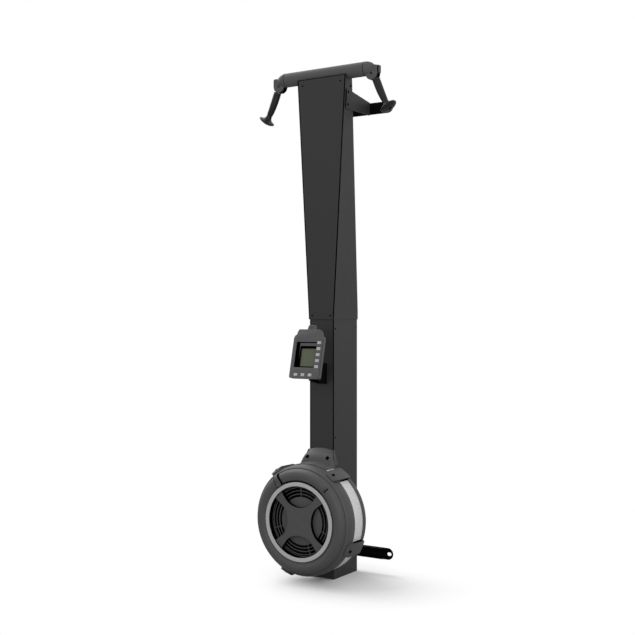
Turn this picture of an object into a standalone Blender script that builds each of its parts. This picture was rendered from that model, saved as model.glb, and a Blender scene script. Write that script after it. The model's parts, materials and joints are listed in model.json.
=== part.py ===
"""Wall-mounted ski ergometer at its real size, in metres, +Z up.

The origin is the middle of the column's foot on the floor. +X is to the right of someone who
faces the machine, +Y goes back to the wall and -Y comes out towards the user. A depth called
"ahead" is measured from the front of the lower column towards the user, and one called "behind"
from the same plane towards the wall.
"""

import math

import bmesh
import bpy
from mathutils import Vector

# Clearances
GAP = 0.0003
CORD_SLACK = 0.0004

# Column
SHEET = 0.002
LOWER_WIDTH = 0.1205
LOWER_DEPTH = 0.1895
REAR_FLANGE = 0.020
SEAM_Z = 1.092
TAPER_START_Z = 1.125
UPPER_TOP_Z = 2.114
UPPER_TOP_WIDTH = 0.242
UPPER_TOP_DEPTH = 0.046
FRONT_FLANGE = 0.016
COVER_THICKNESS = 0.0025
COVER_SCREW_RADIUS = 0.0032
COVER_SCREW_INSET = 0.025
BASE_PLATE_THICKNESS = 0.004

FRONT_Y = -LOWER_DEPTH / 2
UPPER_SEAM_WIDTH = LOWER_WIDTH + 2 * (GAP + SHEET)
UPPER_SEAM_BACK = LOWER_DEPTH + GAP + SHEET
UPPER_FRONT = GAP + SHEET
COVER_BACK = UPPER_FRONT + GAP

# Crossbar and its two cord pulleys
BAR_RADIUS = 0.030
BAR_WALL = 0.003
BAR_Z = 2.130
BAR_HALF_LENGTH = 0.198
BAR_Y = FRONT_Y - COVER_BACK + GAP + BAR_RADIUS
CORD_RADIUS = 0.0025
PULLEY_WIDTH = 0.014
PULLEY_BORE_GAP = 0.0003
PIN_RADIUS = 0.004
TOP_PULLEY_X = 0.030
TOP_PULLEY_PITCH = 0.016
TOP_PULLEY_RADIUS = 0.020
BAR_SLOT_HALF_LENGTH = 0.054
BAR_SLOT_HALF_WIDTH = 0.011

# Swivelling cord heads
SWIVEL_GAP = 0.0005
NOSE_LENGTH = 0.0455
NOSE_TIP_RADIUS = 0.008
HEAD_X = 0.2321
HEAD_Z = 2.1055
HEAD_RADIUS = 0.0265
HEAD_HALF_THICKNESS = 0.0155
CHEEK_INNER = 0.0088
HEAD_OUTER_X = 0.2585
HEAD_TOP_Z = 2.1365
GUARD_INNER_X = 0.2512
GUARD_OUTER_X = 0.2640
GUARD_BOTTOM_Z = 2.107
END_PULLEY_PITCH = 0.0125
END_PULLEY_RADIUS = 0.0185

# Handles
SPLAY = math.radians(27.2)
HANDLE_SEAT = 0.0285
HANDLE_OFFSET = 0.0025
HANDLE_LENGTH = 0.144
GRIP_RADIUS = 0.0165
GRIP_NECK_RADIUS = 0.0138
FLARE_RADIUS = 0.0365
HANDLE_BORE_DEPTH = 0.030

# Wall brackets
WALL_SPACE = 0.0165
WALL_BEHIND = LOWER_DEPTH + WALL_SPACE
BRACKET_HALF_LENGTH = 0.2305
BRACKET_HEIGHT = 0.050
BRACKET_HOLE_X = 0.2125
BRACKET_HOLE_RADIUS = 0.0075
BRACKET_PLATE = 0.003
LOWER_BRACKET_Z = 0.0875
LOWER_CHANNEL_HALF = 0.1875
LOWER_CHANNEL_HEIGHT = 0.046
TOP_BRACKET_Z = 2.0010
TOP_PLATE = 0.005
GUSSET_THICKNESS = 0.003
GUSSET_BOTTOM_Z = 1.9725
GUSSET_FRONT_HEIGHT = 0.083
GUSSET_REAR_HEIGHT = 0.055
GUSSET_FRONT_BEHIND = 0.001

# Flywheel housing, on the shaft's axis
HOUSING_RADIUS = 0.229
HOUSING_LIFT = 0.0356
SHAFT_Z = HOUSING_RADIUS + HOUSING_LIFT
SHELL_WALL = 0.003
RING_INNER = 0.1460
RING_WIDTH = 0.0167
RING_OUTER = RING_INNER + RING_WIDTH
RING_FACE = 0.1812
BULGE_TO_RIM = 0.013
RING_THICKNESS = 0.0045
COLLAR_RADIUS = RING_INNER + 0.0012
COLLAR_BACK = 0.145
ROUND_STEPS = 36
BAND_FRONT = 0.110
BAND_BACK = 0.044
BAND_LAP = 0.006
BAND_WALL = 0.0025
CLIP_ANGLES = (54.5, -25.0, -112.0, 125.5)
CLIP_SPAN = 14.0
CLIP_HEIGHT = 0.015
CLIP_WALL = 0.004
CLIP_FRONT = 0.139
CLIP_BACK = 0.028

# Front of the housing
HUB_COVER_FACE = 0.174
HUB_COVER_THICKNESS = 0.008
OPENING_RADIUS = 0.092
OPENING_CENTRE = 0.149
GRILLE_FACE = 0.154
GRILLE_THICKNESS = 0.003
GRILLE_DISC_RADIUS = RING_INNER - 0.0495
GRILLE_RIM = 0.0093
GRILLE_SLOTS = 3
GRILLE_SECTORS = 4
SHUTTER_FACE = 0.1425
SHUTTER_THICKNESS = 0.0025
SHUTTER_RADIUS = RING_INNER + 0.002
SHUTTER_WINDOW = 0.040
SHUTTER_RIM = 0.010
SHUTTER_BORE = 0.012
LEVER_ANGLE = 122.6
LEVER_SPAN = 7.5
LEVER_TRAVEL = 72.0
LEVER_LIFT = 0.0008
LEVER_THICKNESS = 0.0035
SLOT_WIDTH = 0.0058
SLOT_INNER = RING_OUTER + 0.001
SLOT_OUTER = SLOT_INNER + SLOT_WIDTH

# Flywheel, shaft and drums
FAN_SPACE = 0.041
FLYWHEEL_RADIUS = HOUSING_RADIUS - FAN_SPACE
FLYWHEEL_HUB_RADIUS = 0.045
FLYWHEEL_WEB_BACK = 0.088
FLYWHEEL_WEB_FRONT = 0.0945
FLYWHEEL_FRONT = 0.130
VANES = 18
VANE_THICKNESS = 0.003
SHAFT_RADIUS = 0.008
SHAFT_FRONT = 0.133
SHAFT_BACK = 0.146
CARRIER_FRONT = 0.018
CARRIER_BACK = 0.141
CARRIER_PLATE = 0.008
CARRIER_HALF_HEIGHT = 0.045
BEARING_RADIUS = 0.016
BEARING_WIDTH = 0.010
DRUM_GROOVE = 0.028
RETURN_GROOVE = 0.034
DRUM_FLANGE = 0.0425
DRUM_FLANGE_WIDTH = 0.002
DRIVE_WIDTH = 0.012
RETURN_WIDTH = 0.012
LEFT_DRUM_BEHIND = 0.055
RIGHT_DRUM_BEHIND = 0.103
SHOCK_RADIUS = 0.004
IDLER_Z = 1.70
IDLER_BEHIND = 0.079
IDLER_RADIUS = 0.041

# Neck cover
NECK_WALL = 0.003
NECK_SADDLE = 0.0025
NECK_SADDLE_SPAN = 45.0
NECK_TOP_Z = SHAFT_Z + HOUSING_RADIUS + 0.0584
NECK_MIDDLE_Z = NECK_TOP_Z - 0.040
NECK_BOTTOM_Z = NECK_TOP_Z - 0.112

# Monitor, in the plane of its own face
MONITOR_FACE_AHEAD = 0.1184
MONITOR_Z = 0.950
MONITOR_TILT = math.radians(13.5)
MONITOR_HALF_WIDTH = 0.0722
MONITOR_HALF_HEIGHT = 0.1035
FRONT_CASE_DEPTH = 0.014
CASE_WALL = 0.0025
BACK_CASE_DEPTH = 0.026
BACK_CASE_INSET = 0.0015
WINDOW_LEFT = -0.0552
WINDOW_RIGHT = 0.0443
WINDOW_BOTTOM = -0.0575
WINDOW_TOP = 0.0485
BEZEL_WALL = 0.001
DISPLAY_DEPTH = 0.012
DISPLAY_THICKNESS = 0.003
BOARD_THICKNESS = 0.0016
BUTTON_WIDTH = 0.0175
BUTTON_HEIGHT = 0.0122
BUTTON_PROUD = 0.0015
BUTTON_DEPTH = 0.0040
BUTTON_TRAVEL = 0.0010
SIDE_BUTTON_X = 0.0558
SIDE_BUTTON_TOP = 0.0475
SIDE_BUTTON_PITCH = 0.0251
SIDE_BUTTONS = 5
ROW_BUTTON_LEFT = -0.0410
ROW_BUTTON_PITCH = 0.0350
ROW_BUTTON_Z = -0.0880
ROW_BUTTONS = 3
PIVOT_DEPTH = 0.042
PIVOT_DROP = -0.045
PIVOT_PIN_RADIUS = 0.003
LUG_HALF_WIDTH = 0.020
LUG_RADIUS = 0.009
ARM_CHEEK = 0.003
ARM_BOTTOM_Z = 0.822
ARM_TOP_Z = 0.906


def reset():
    """Clear the scene and make the two collections."""
    for obj in list(bpy.data.objects):
        bpy.data.objects.remove(obj)
    parts = bpy.data.collections.new("ski_ergometer")
    cutters = bpy.data.collections.new("cutters")
    bpy.context.scene.collection.children.link(parts)
    bpy.context.scene.collection.children.link(cutters)
    return parts, cutters


PARTS, CUTTERS = reset()


def finish(name, colour, roughness, metallic=0.0):
    """A material with a plain Principled surface."""
    material = bpy.data.materials.new(name)
    material.use_nodes = True
    shader = material.node_tree.nodes["Principled BSDF"]
    shader.inputs["Base Color"].default_value = (*colour, 1.0)
    shader.inputs["Roughness"].default_value = roughness
    shader.inputs["Metallic"].default_value = metallic
    return material


PAINT = finish("column_paint", (0.045, 0.045, 0.046), 0.45)
BLACK_PAINT = finish("bracket_black", (0.012, 0.012, 0.012), 0.5)
SHELL = finish("housing_plastic", (0.070, 0.070, 0.071), 0.5)
RING = finish("ring_grey", (0.30, 0.30, 0.30), 0.4)
BAND = finish("band_mesh", (0.55, 0.55, 0.55), 0.5)
GRIP = finish("grip_rubber", (0.055, 0.055, 0.055), 0.7)
HEAD = finish("head_plastic", (0.10, 0.10, 0.10), 0.5)
CASE = finish("monitor_case", (0.080, 0.080, 0.085), 0.5)
GLASS = finish("display_glass", (0.085, 0.100, 0.062), 0.2)
BUTTON = finish("button_grey", (0.45, 0.45, 0.45), 0.5)
STEEL = finish("bare_steel", (0.45, 0.45, 0.46), 0.3, 1.0)
CORD = finish("cord_black", (0.015, 0.015, 0.015), 0.8)
NYLON = finish("pulley_nylon", (0.12, 0.12, 0.12), 0.4)
BOARD = finish("circuit_board", (0.02, 0.10, 0.04), 0.5)

FACING_FRONT = (math.pi / 2, 0, 0)
FACING_SIDE = (math.pi / 2, 0, math.pi / 2)


def ahead(distance):
    """World Y of a point this far ahead of the column's front; behind it when negative."""
    return FRONT_Y - distance


def add(name, mesh, material, smooth=None):
    """Put a mesh in the parts, or in the cutters when it has no material."""
    obj = bpy.data.objects.new(name, mesh)
    if material is None:
        CUTTERS.objects.link(obj)
        obj.hide_render = True
        obj.display_type = "WIRE"
    else:
        PARTS.objects.link(obj)
        mesh.materials.append(material)
    if smooth:
        mesh.shade_smooth()
        mesh.set_sharp_from_angle(angle=math.radians(smooth))
    return obj


def block(name, low, high, material=None):
    """A box between two opposite corners."""
    low = Vector(low)
    high = Vector(high)
    shape = bmesh.new()
    bmesh.ops.create_cube(shape, size=1.0)
    bmesh.ops.scale(shape, vec=high - low, verts=shape.verts)
    mesh = bpy.data.meshes.new(name)
    shape.to_mesh(mesh)
    shape.free()
    obj = add(name, mesh, material)
    obj.location = (low + high) / 2
    return obj


def rod(name, start, end, radius, material=None, sides=20):
    """A round bar from one point to another."""
    start = Vector(start)
    end = Vector(end)
    shape = bmesh.new()
    bmesh.ops.create_cone(
        shape, cap_ends=True, segments=sides, radius1=radius, radius2=radius, depth=(end - start).length
    )
    mesh = bpy.data.meshes.new(name)
    shape.to_mesh(mesh)
    shape.free()
    obj = add(name, mesh, material, smooth=40)
    obj.location = (start + end) / 2
    obj.rotation_euler = (end - start).to_track_quat("Z", "Y").to_euler()
    return obj


def turned(name, profile, material=None, steps=32, closed=True, wall=0.0, span=360.0, middle=0.0):
    """A profile of (radius, height) swept about local Z, down its outer side.

    An open profile either starts and ends on the axis or gets a wall. A sweep of less than a
    full turn is centred on the angle called middle, counted from local X towards local Y.
    """
    start = math.radians(middle - span / 2) if span < 360 else 0.0
    mesh = bpy.data.meshes.new(name)
    points = [(r * math.cos(start), r * math.sin(start), z) for r, z in profile]
    edges = [(i, i + 1) for i in range(len(points) - 1)]
    if closed:
        edges.append((len(points) - 1, 0))
    mesh.from_pydata(points, edges, [])
    obj = add(name, mesh, material)
    screw = obj.modifiers.new("turn", "SCREW")
    screw.angle = math.radians(span)
    screw.steps = steps
    screw.render_steps = steps
    screw.use_merge_vertices = span >= 360
    screw.merge_threshold = 0.00002
    screw.use_smooth_shade = True
    if wall:
        shell = obj.modifiers.new("wall", "SOLIDIFY")
        shell.thickness = wall
        shell.offset = -1
        shell.use_even_offset = True
    return obj


def plate(name, outline, thickness, material=None, holes=(), facing=FACING_FRONT):
    """A flat outline of (across, up) points with holes, its thickness centred on its plane."""
    curve = bpy.data.curves.new(name, "CURVE")
    curve.dimensions = "2D"
    curve.fill_mode = "BOTH"
    curve.extrude = thickness / 2
    for ring in (outline, *holes):
        spline = curve.splines.new("POLY")
        spline.points.add(len(ring) - 1)
        for point, (across, up) in zip(spline.points, ring):
            point.co = (across, up, 0, 1)
        spline.use_cyclic_u = True
    return meshed(name, curve, material, facing)


def tube(name, points, radius, material):
    """A round cord along a list of points, with closed ends."""
    curve = bpy.data.curves.new(name, "CURVE")
    curve.dimensions = "3D"
    curve.bevel_depth = radius
    curve.bevel_resolution = 2
    curve.use_fill_caps = True
    spline = curve.splines.new("POLY")
    spline.points.add(len(points) - 1)
    for point, place in zip(spline.points, points):
        point.co = (*place, 1)
    return meshed(name, curve, material, (0, 0, 0), smooth=50)


def meshed(name, curve, material, facing, smooth=None):
    """The mesh of a curve, with its caps welded to its sides."""
    source = bpy.data.objects.new(name + "_curve", curve)
    CUTTERS.objects.link(source)
    source.rotation_euler = facing
    bpy.context.view_layer.update()
    mesh = bpy.data.meshes.new_from_object(source.evaluated_get(bpy.context.evaluated_depsgraph_get()))
    place = source.matrix_world.copy()
    bpy.data.objects.remove(source)
    shape = bmesh.new()
    shape.from_mesh(mesh)
    bmesh.ops.remove_doubles(shape, verts=shape.verts, dist=0.000002)
    shape.to_mesh(mesh)
    shape.free()
    mesh.materials.clear()
    obj = add(name, mesh, material, smooth)
    obj.matrix_world = place
    return obj


def combine(obj, other, operation="DIFFERENCE"):
    """Cut a hidden piece out of this one, or join it on."""
    change = obj.modifiers.new(other.name, "BOOLEAN")
    change.operation = operation
    change.object = other
    change.solver = "EXACT"
    return obj


def join(obj, other):
    """Join a hidden piece onto this one."""
    return combine(obj, other, "UNION")


def circle(centre_x, centre_z, radius, count=16):
    """Points round a circle."""
    turn = 2 * math.pi / count
    return [
        (centre_x + radius * math.cos(turn * i), centre_z + radius * math.sin(turn * i)) for i in range(count)
    ]


def arc(centre_x, centre_z, radius, start, end, count):
    """Points along an arc between two angles in degrees, with both ends."""
    angles = [math.radians(start + (end - start) * i / (count - 1)) for i in range(count)]
    return [(centre_x + radius * math.cos(a), centre_z + radius * math.sin(a)) for a in angles]


def mirrored(half):
    """An outline from its right half, which runs from bottom to top."""
    return half + [(-x, z) for x, z in reversed(half)]


def rectangle(left, bottom, right, top):
    """The corners of a rectangle."""
    return [(left, bottom), (right, bottom), (right, top), (left, top)]


def tangent_point(point, centre, radius, side):
    """Where a line from a point touches a circle, on the side +1 or -1 of the line to its centre."""
    dx = point[0] - centre[0]
    dz = point[1] - centre[1]
    angle = math.atan2(dz, dx) + side * math.acos(radius / math.hypot(dx, dz))
    return angle, (centre[0] + radius * math.cos(angle), centre[1] + radius * math.sin(angle))


def upper_half_width(z):
    """Half the outside width of the upper column at a height."""
    share = max(0.0, (z - TAPER_START_Z) / (UPPER_TOP_Z - TAPER_START_Z))
    return (UPPER_SEAM_WIDTH + (UPPER_TOP_WIDTH - UPPER_SEAM_WIDTH) * share) / 2


def upper_back(z):
    """How far behind the front plane the back of the upper column lies at a height."""
    share = max(0.0, (z - TAPER_START_Z) / (UPPER_TOP_Z - TAPER_START_Z))
    return UPPER_SEAM_BACK + (UPPER_TOP_DEPTH - UPPER_SEAM_BACK) * share


def channel(name, stations, material):
    """A folded sheet: a row of points at each height, joined and given its thickness."""
    mesh = bpy.data.meshes.new(name)
    points = [(x, y, z) for z, row in stations for x, y in row]
    count = len(stations[0][1])
    faces = []
    for level in range(len(stations) - 1):
        for i in range(count - 1):
            low = level * count + i
            faces.append((low, low + 1, low + count + 1, low + count))
    mesh.from_pydata(points, [], faces)
    obj = add(name, mesh, material)
    sheet = obj.modifiers.new("sheet", "SOLIDIFY")
    sheet.thickness = SHEET
    sheet.offset = -1
    sheet.use_even_offset = True
    return obj


def lower_column():
    """The folded box of the lower column: front, two sides and two short rear flanges."""
    half = LOWER_WIDTH / 2
    back = -FRONT_Y
    lip = half - REAR_FLANGE
    row = [(-lip, back), (-half, back), (-half, FRONT_Y), (half, FRONT_Y), (half, back), (lip, back)]
    column = channel("lower_column", [(0.0, row), (TAPER_START_Z - 0.003, row)], PAINT)
    hole = rod("shaft_hole", (0, ahead(0.01), SHAFT_Z), (0, ahead(-0.01), SHAFT_Z), SHAFT_RADIUS + 0.002)
    combine(column, hole)
    inner = half - SHEET - GAP
    block(
        "base_plate",
        (-inner, FRONT_Y + SHEET + GAP, 0),
        (inner, back - SHEET - GAP, BASE_PLATE_THICKNESS),
        BLACK_PAINT,
    )


def upper_column():
    """The tapering upper column, open to the front, and the flat cover that closes it."""

    def row(z):
        half = upper_half_width(z)
        lip = half - FRONT_FLANGE
        front = ahead(UPPER_FRONT)
        back = ahead(-upper_back(z))
        return [(lip, front), (half, front), (half, back), (-half, back), (-half, front), (-lip, front)]

    stations = [(z, row(z)) for z in (SEAM_Z, TAPER_START_Z, UPPER_TOP_Z)]
    column = channel("upper_column", stations, PAINT)
    seat = rod(
        "bar_seat",
        (-UPPER_TOP_WIDTH, BAR_Y, BAR_Z),
        (UPPER_TOP_WIDTH, BAR_Y, BAR_Z),
        BAR_RADIUS + GAP,
        sides=48,
    )
    combine(column, seat)

    half_outline = [(upper_half_width(z), z) for z in (SEAM_Z, TAPER_START_Z, UPPER_TOP_Z)]
    screws = []
    for z, inset in ((SEAM_Z + 0.016, 0.017), (UPPER_TOP_Z - 0.0265, COVER_SCREW_INSET)):
        for side in (-1, 1):
            screws.append(circle(side * (upper_half_width(z) - inset), z, COVER_SCREW_RADIUS, 12))
    cover = plate("upper_front_cover", mirrored(half_outline), COVER_THICKNESS, PAINT, screws)
    cover.location.y = ahead(COVER_BACK + COVER_THICKNESS / 2)


def groove_profile(radius, groove, bore, width, flank):
    """Half section of a grooved pulley."""
    half = width / 2
    return [
        (radius, half),
        (radius, half - flank),
        (groove, flank * 0.9),
        (groove, -flank * 0.9),
        (radius, -half + flank),
        (radius, -half),
        (bore, -half),
        (bore, half),
    ]


def pulley(name, place, radius, pitch, cord_radius, width, steps=16):
    """A grooved pulley on a pin along Y; the cord's middle runs at its pitch radius."""
    groove = pitch - cord_radius - GAP
    profile = groove_profile(radius, groove, PIN_RADIUS + PULLEY_BORE_GAP, width, width * 0.24)
    wheel = turned(name, profile, NYLON, steps=steps)
    wheel.rotation_euler = FACING_FRONT
    wheel.location = place
    return wheel


def crossbar():
    """The round bar, its slot for the two inner pulleys, and the pins that carry them."""
    inner = BAR_RADIUS - BAR_WALL
    profile = [
        (BAR_RADIUS, BAR_HALF_LENGTH),
        (BAR_RADIUS, -BAR_HALF_LENGTH),
        (inner, -BAR_HALF_LENGTH),
        (inner, BAR_HALF_LENGTH),
    ]
    bar = turned("crossbar", profile, HEAD, steps=32)
    bar.rotation_euler = (0, math.pi / 2, 0)
    bar.location = (0, BAR_Y, BAR_Z)
    slot = block(
        "bar_slot",
        (-BAR_SLOT_HALF_LENGTH, BAR_Y - BAR_SLOT_HALF_WIDTH, BAR_Z - BAR_RADIUS - 0.01),
        (BAR_SLOT_HALF_LENGTH, BAR_Y + BAR_SLOT_HALF_WIDTH, BAR_Z - BAR_RADIUS / 2),
    )
    combine(bar, slot)
    pulley_z = BAR_Z - TOP_PULLEY_PITCH
    reach = math.sqrt((BAR_RADIUS - BAR_WALL / 2) ** 2 - TOP_PULLEY_PITCH**2)
    for side, word in ((-1, "left"), (1, "right")):
        x = side * TOP_PULLEY_X
        pin = rod(
            word + "_top_pin", (x, BAR_Y - reach, pulley_z), (x, BAR_Y + reach, pulley_z), PIN_RADIUS, sides=16
        )
        join(bar, pin)
        place = (x, BAR_Y, pulley_z)
        pulley(
            word + "_top_pulley", place, TOP_PULLEY_RADIUS, TOP_PULLEY_PITCH, CORD_RADIUS, PULLEY_WIDTH
        )


def nose_profile(grow=0.0):
    """Half section of the domed end cap, from its tip back to the bar."""
    start = BAR_HALF_LENGTH + SWIVEL_GAP
    points = []
    for i in range(6):
        angle = math.radians(14 + 76 * i / 5)
        radius = NOSE_TIP_RADIUS + (BAR_RADIUS - NOSE_TIP_RADIUS) * math.sin(angle) ** 1.1
        reach = start + (NOSE_LENGTH - 0.004) * math.cos(angle)
        points.append((radius + grow, reach + grow))
    return points + [(BAR_RADIUS + grow, start - grow)]


def head_outline():
    """Outline of a head's cheek: a disc with a block above its outer side, for the right side."""
    low = arc(HEAD_X, HEAD_Z, HEAD_RADIUS, 4, -250, 20)
    corner = 0.003
    return low + [
        (HEAD_X + 0.006, HEAD_TOP_Z),
        (HEAD_OUTER_X - corner, HEAD_TOP_Z),
        (HEAD_OUTER_X, HEAD_TOP_Z - corner),
    ]


def cord_head(side, word):
    """One swivelling head: the domed nose with its rear cheek, the front cover and the pulley."""
    outward = (0, side * math.pi / 2, 0)
    place = (0, BAR_Y, BAR_Z)
    bore = CORD_RADIUS + 0.003
    start = BAR_HALF_LENGTH + SWIVEL_GAP
    tip = start + NOSE_LENGTH
    section = [(bore, tip), (NOSE_TIP_RADIUS - 0.001, tip)] + nose_profile() + [(bore, start)]
    nose = turned(word + "_head_nose", section, HEAD, steps=24)
    nose.rotation_euler = outward
    nose.location = place

    outline = [(side * x, z) for x, z in head_outline()]
    rear = plate(word + "_rear_cheek", outline, HEAD_HALF_THICKNESS - CHEEK_INNER)
    rear.location.y = BAR_Y + (HEAD_HALF_THICKNESS + CHEEK_INNER) / 2
    join(nose, rear)
    guard_x = sorted((side * GUARD_INNER_X, side * GUARD_OUTER_X))
    guard = block(
        word + "_guard",
        (guard_x[0], BAR_Y - CHEEK_INNER + GAP, GUARD_BOTTOM_Z),
        (guard_x[1], BAR_Y + CHEEK_INNER + 0.002, HEAD_TOP_Z - 0.001),
    )
    join(nose, guard)
    x = side * HEAD_X
    axle_way = rod(
        word + "_axle_clearance",
        (x, BAR_Y - BAR_RADIUS, HEAD_Z),
        (x, BAR_Y, HEAD_Z),
        PIN_RADIUS + GAP,
        sides=16,
    )
    combine(nose, axle_way)
    slot_x = sorted((side * (start + 0.008), side * (GUARD_INNER_X - 0.0002)))
    slot = block(
        word + "_pulley_slot",
        (slot_x[0], BAR_Y - CHEEK_INNER, HEAD_Z - 0.04),
        (slot_x[1], BAR_Y + CHEEK_INNER, BAR_Z + 0.010),
    )
    combine(nose, slot)

    cover = plate(word + "_head_cover", outline, HEAD_HALF_THICKNESS - CHEEK_INNER, HEAD)
    cover.location.y = BAR_Y - (HEAD_HALF_THICKNESS + CHEEK_INNER) / 2
    profile = [(0.0, tip + GAP), (NOSE_TIP_RADIUS - 0.001 + GAP, tip + GAP)]
    profile += nose_profile(GAP) + [(0.0, start - GAP)]
    clearance = turned(word + "_nose_clearance", profile, None, steps=24, closed=False)
    clearance.rotation_euler = outward
    clearance.location = place
    combine(cover, clearance)
    pin = rod(
        word + "_end_pin",
        (x, BAR_Y - HEAD_HALF_THICKNESS + 0.002, HEAD_Z),
        (x, BAR_Y + CHEEK_INNER - GAP, HEAD_Z),
        PIN_RADIUS,
        sides=16,
    )
    join(cover, pin)
    pulley(
        word + "_end_pulley", (x, BAR_Y, HEAD_Z), END_PULLEY_RADIUS, END_PULLEY_PITCH, CORD_RADIUS, PULLEY_WIDTH
    )


def handle_top(side):
    """Where a handle's axis meets its top face: beyond the head's disc, along the splay."""
    x = HEAD_X + HANDLE_SEAT * math.sin(SPLAY) + HANDLE_OFFSET * math.cos(SPLAY)
    z = HEAD_Z - HANDLE_SEAT * math.cos(SPLAY) + HANDLE_OFFSET * math.sin(SPLAY)
    return Vector((side * x, BAR_Y, z))


def handle(side, word):
    """One handle: a turned grip that necks in and flares to a domed end, bored for its cord."""
    bore = CORD_RADIUS + CORD_SLACK
    flare = HANDLE_LENGTH - 0.014
    profile = [
        (0.0, -HANDLE_BORE_DEPTH),
        (bore, -HANDLE_BORE_DEPTH),
        (bore, 0.0),
        (GRIP_RADIUS - 0.0015, 0.0),
        (GRIP_RADIUS, -0.002),
        (GRIP_RADIUS - 0.0002, -0.050),
        (GRIP_RADIUS - 0.0015, -0.090),
        (GRIP_NECK_RADIUS, flare - 0.234),
        (GRIP_NECK_RADIUS + 0.002, flare - 0.246),
        (GRIP_NECK_RADIUS + 0.009, flare - 0.253),
        (FLARE_RADIUS - 0.005, 0.003 - flare),
        (FLARE_RADIUS, -flare),
        (FLARE_RADIUS - 0.001, -flare - 0.004),
        (FLARE_RADIUS - 0.010, -flare - 0.009),
        (FLARE_RADIUS - 0.022, -flare - 0.013),
        (0.0, -HANDLE_LENGTH),
    ]
    grip = turned(word + "_handle", profile, GRIP, steps=20, closed=False)
    grip.rotation_euler = (0, -side * SPLAY, 0)
    grip.location = handle_top(side)


def end_cord(side, word):
    """The last stretch of a drive cord: out of the bar, round the end pulley, into the handle."""
    centre = (HEAD_X, HEAD_Z)
    top = handle_top(1)
    down = Vector((math.sin(SPLAY), 0, -math.cos(SPLAY)))
    inlet = (BAR_HALF_LENGTH + SWIVEL_GAP, BAR_Z)
    first, _ = tangent_point(inlet, centre, END_PULLEY_PITCH, -1)
    last, _ = tangent_point((top.x, top.z), centre, END_PULLEY_PITCH, 1)
    wrap = arc(*centre, END_PULLEY_PITCH, math.degrees(first), math.degrees(last), 8)
    inside = top + down * (HANDLE_BORE_DEPTH - 0.001)
    route = [inlet] + wrap + [(top.x, top.z), (inside.x, inside.z)]
    tube(word + "_end_cord", [(side * x, BAR_Y, z) for x, z in route], CORD_RADIUS, CORD)


def drum_pitch():
    """Radius at which the middle of the drive cord leaves its drum."""
    return DRUM_GROOVE + CORD_RADIUS + GAP


def return_pitch():
    """Radius at which the middle of the shock cord leaves a drum or the idler."""
    return RETURN_GROOVE + SHOCK_RADIUS + GAP


def groove_offset(width):
    """Distance from a drum's middle flange to the middle of a groove."""
    return DRUM_FLANGE_WIDTH / 2 + width / 2


def drive_cord(side, word, drum_behind):
    """The drive cord from its drum up the column, over the inner pulley and along the bar."""
    pulley_z = BAR_Z - TOP_PULLEY_PITCH
    drum_y = ahead(-drum_behind) - groove_offset(DRIVE_WIDTH) * (1 if side < 0 else -1)
    points = [(side * drum_pitch(), drum_y, SHAFT_Z)]
    rise = Vector((side * (TOP_PULLEY_X - TOP_PULLEY_PITCH), BAR_Y, pulley_z)) - Vector(points[0])
    for share in (0.25, 0.5, 0.75):
        points.append(tuple(Vector(points[0]) + rise * share))
    for x, z in arc(TOP_PULLEY_X, pulley_z, TOP_PULLEY_PITCH, 180, 90, 6):
        points.append((side * x, BAR_Y, z))
    points.append((side * (BAR_HALF_LENGTH - 0.0005), BAR_Y, BAR_Z))
    tube(word + "_drive_cord", points, CORD_RADIUS, CORD)


def drum(side, word, behind):
    """A one-way drum: a groove for the drive cord and a larger one for the shock cord."""
    middle = DRUM_FLANGE_WIDTH / 2
    drive_end = middle + DRIVE_WIDTH
    return_end = middle + RETURN_WIDTH
    bore = SHAFT_RADIUS + GAP
    profile = [
        (DRUM_FLANGE, drive_end + DRUM_FLANGE_WIDTH),
        (DRUM_FLANGE, drive_end),
        (DRUM_GROOVE, drive_end),
        (DRUM_GROOVE, middle),
        (DRUM_FLANGE, middle),
        (DRUM_FLANGE, -middle),
        (RETURN_GROOVE, -middle),
        (RETURN_GROOVE, -return_end),
        (DRUM_FLANGE, -return_end),
        (DRUM_FLANGE, -return_end - DRUM_FLANGE_WIDTH),
        (bore, -return_end - DRUM_FLANGE_WIDTH),
        (bore, drive_end + DRUM_FLANGE_WIDTH),
    ]
    spool = turned(word + "_drum", profile, NYLON, steps=20)
    spool.rotation_euler = FACING_FRONT if side < 0 else (-math.pi / 2, 0, 0)
    spool.location = (0, ahead(-behind), SHAFT_Z)


def shock_cord():
    """The elastic return cord: from one drum up over the idler and down to the other drum."""
    pitch = return_pitch()
    left_y = ahead(-LEFT_DRUM_BEHIND) + groove_offset(RETURN_WIDTH)
    right_y = ahead(-RIGHT_DRUM_BEHIND) - groove_offset(RETURN_WIDTH)
    points = [(pitch, left_y, SHAFT_Z)]
    for x, z in arc(0, IDLER_Z, pitch, 0, 180, 13):
        points.append((x, ahead(-IDLER_BEHIND), z))
    points.append((-pitch, right_y, SHAFT_Z))
    tube("shock_cord", points, SHOCK_RADIUS, CORD)

    pulley(
        "idler_pulley",
        (0, ahead(-IDLER_BEHIND), IDLER_Z),
        IDLER_RADIUS,
        pitch,
        SHOCK_RADIUS,
        0.022,
        steps=24,
    )
    half = 0.018
    plate_behind = IDLER_BEHIND + 0.016
    outline = []
    for z in (IDLER_Z - half, IDLER_Z + half):
        outline.append((upper_half_width(z) - SHEET - 0.0004, z))
    bracket = plate("idler_bracket", mirrored(outline), 0.004, BLACK_PAINT)
    bracket.location.y = ahead(-plate_behind)
    pin = rod(
        "idler_pin",
        (0, ahead(-IDLER_BEHIND + 0.010), IDLER_Z),
        (0, ahead(-plate_behind), IDLER_Z),
        PIN_RADIUS,
        sides=16,
    )
    join(bracket, pin)


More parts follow.
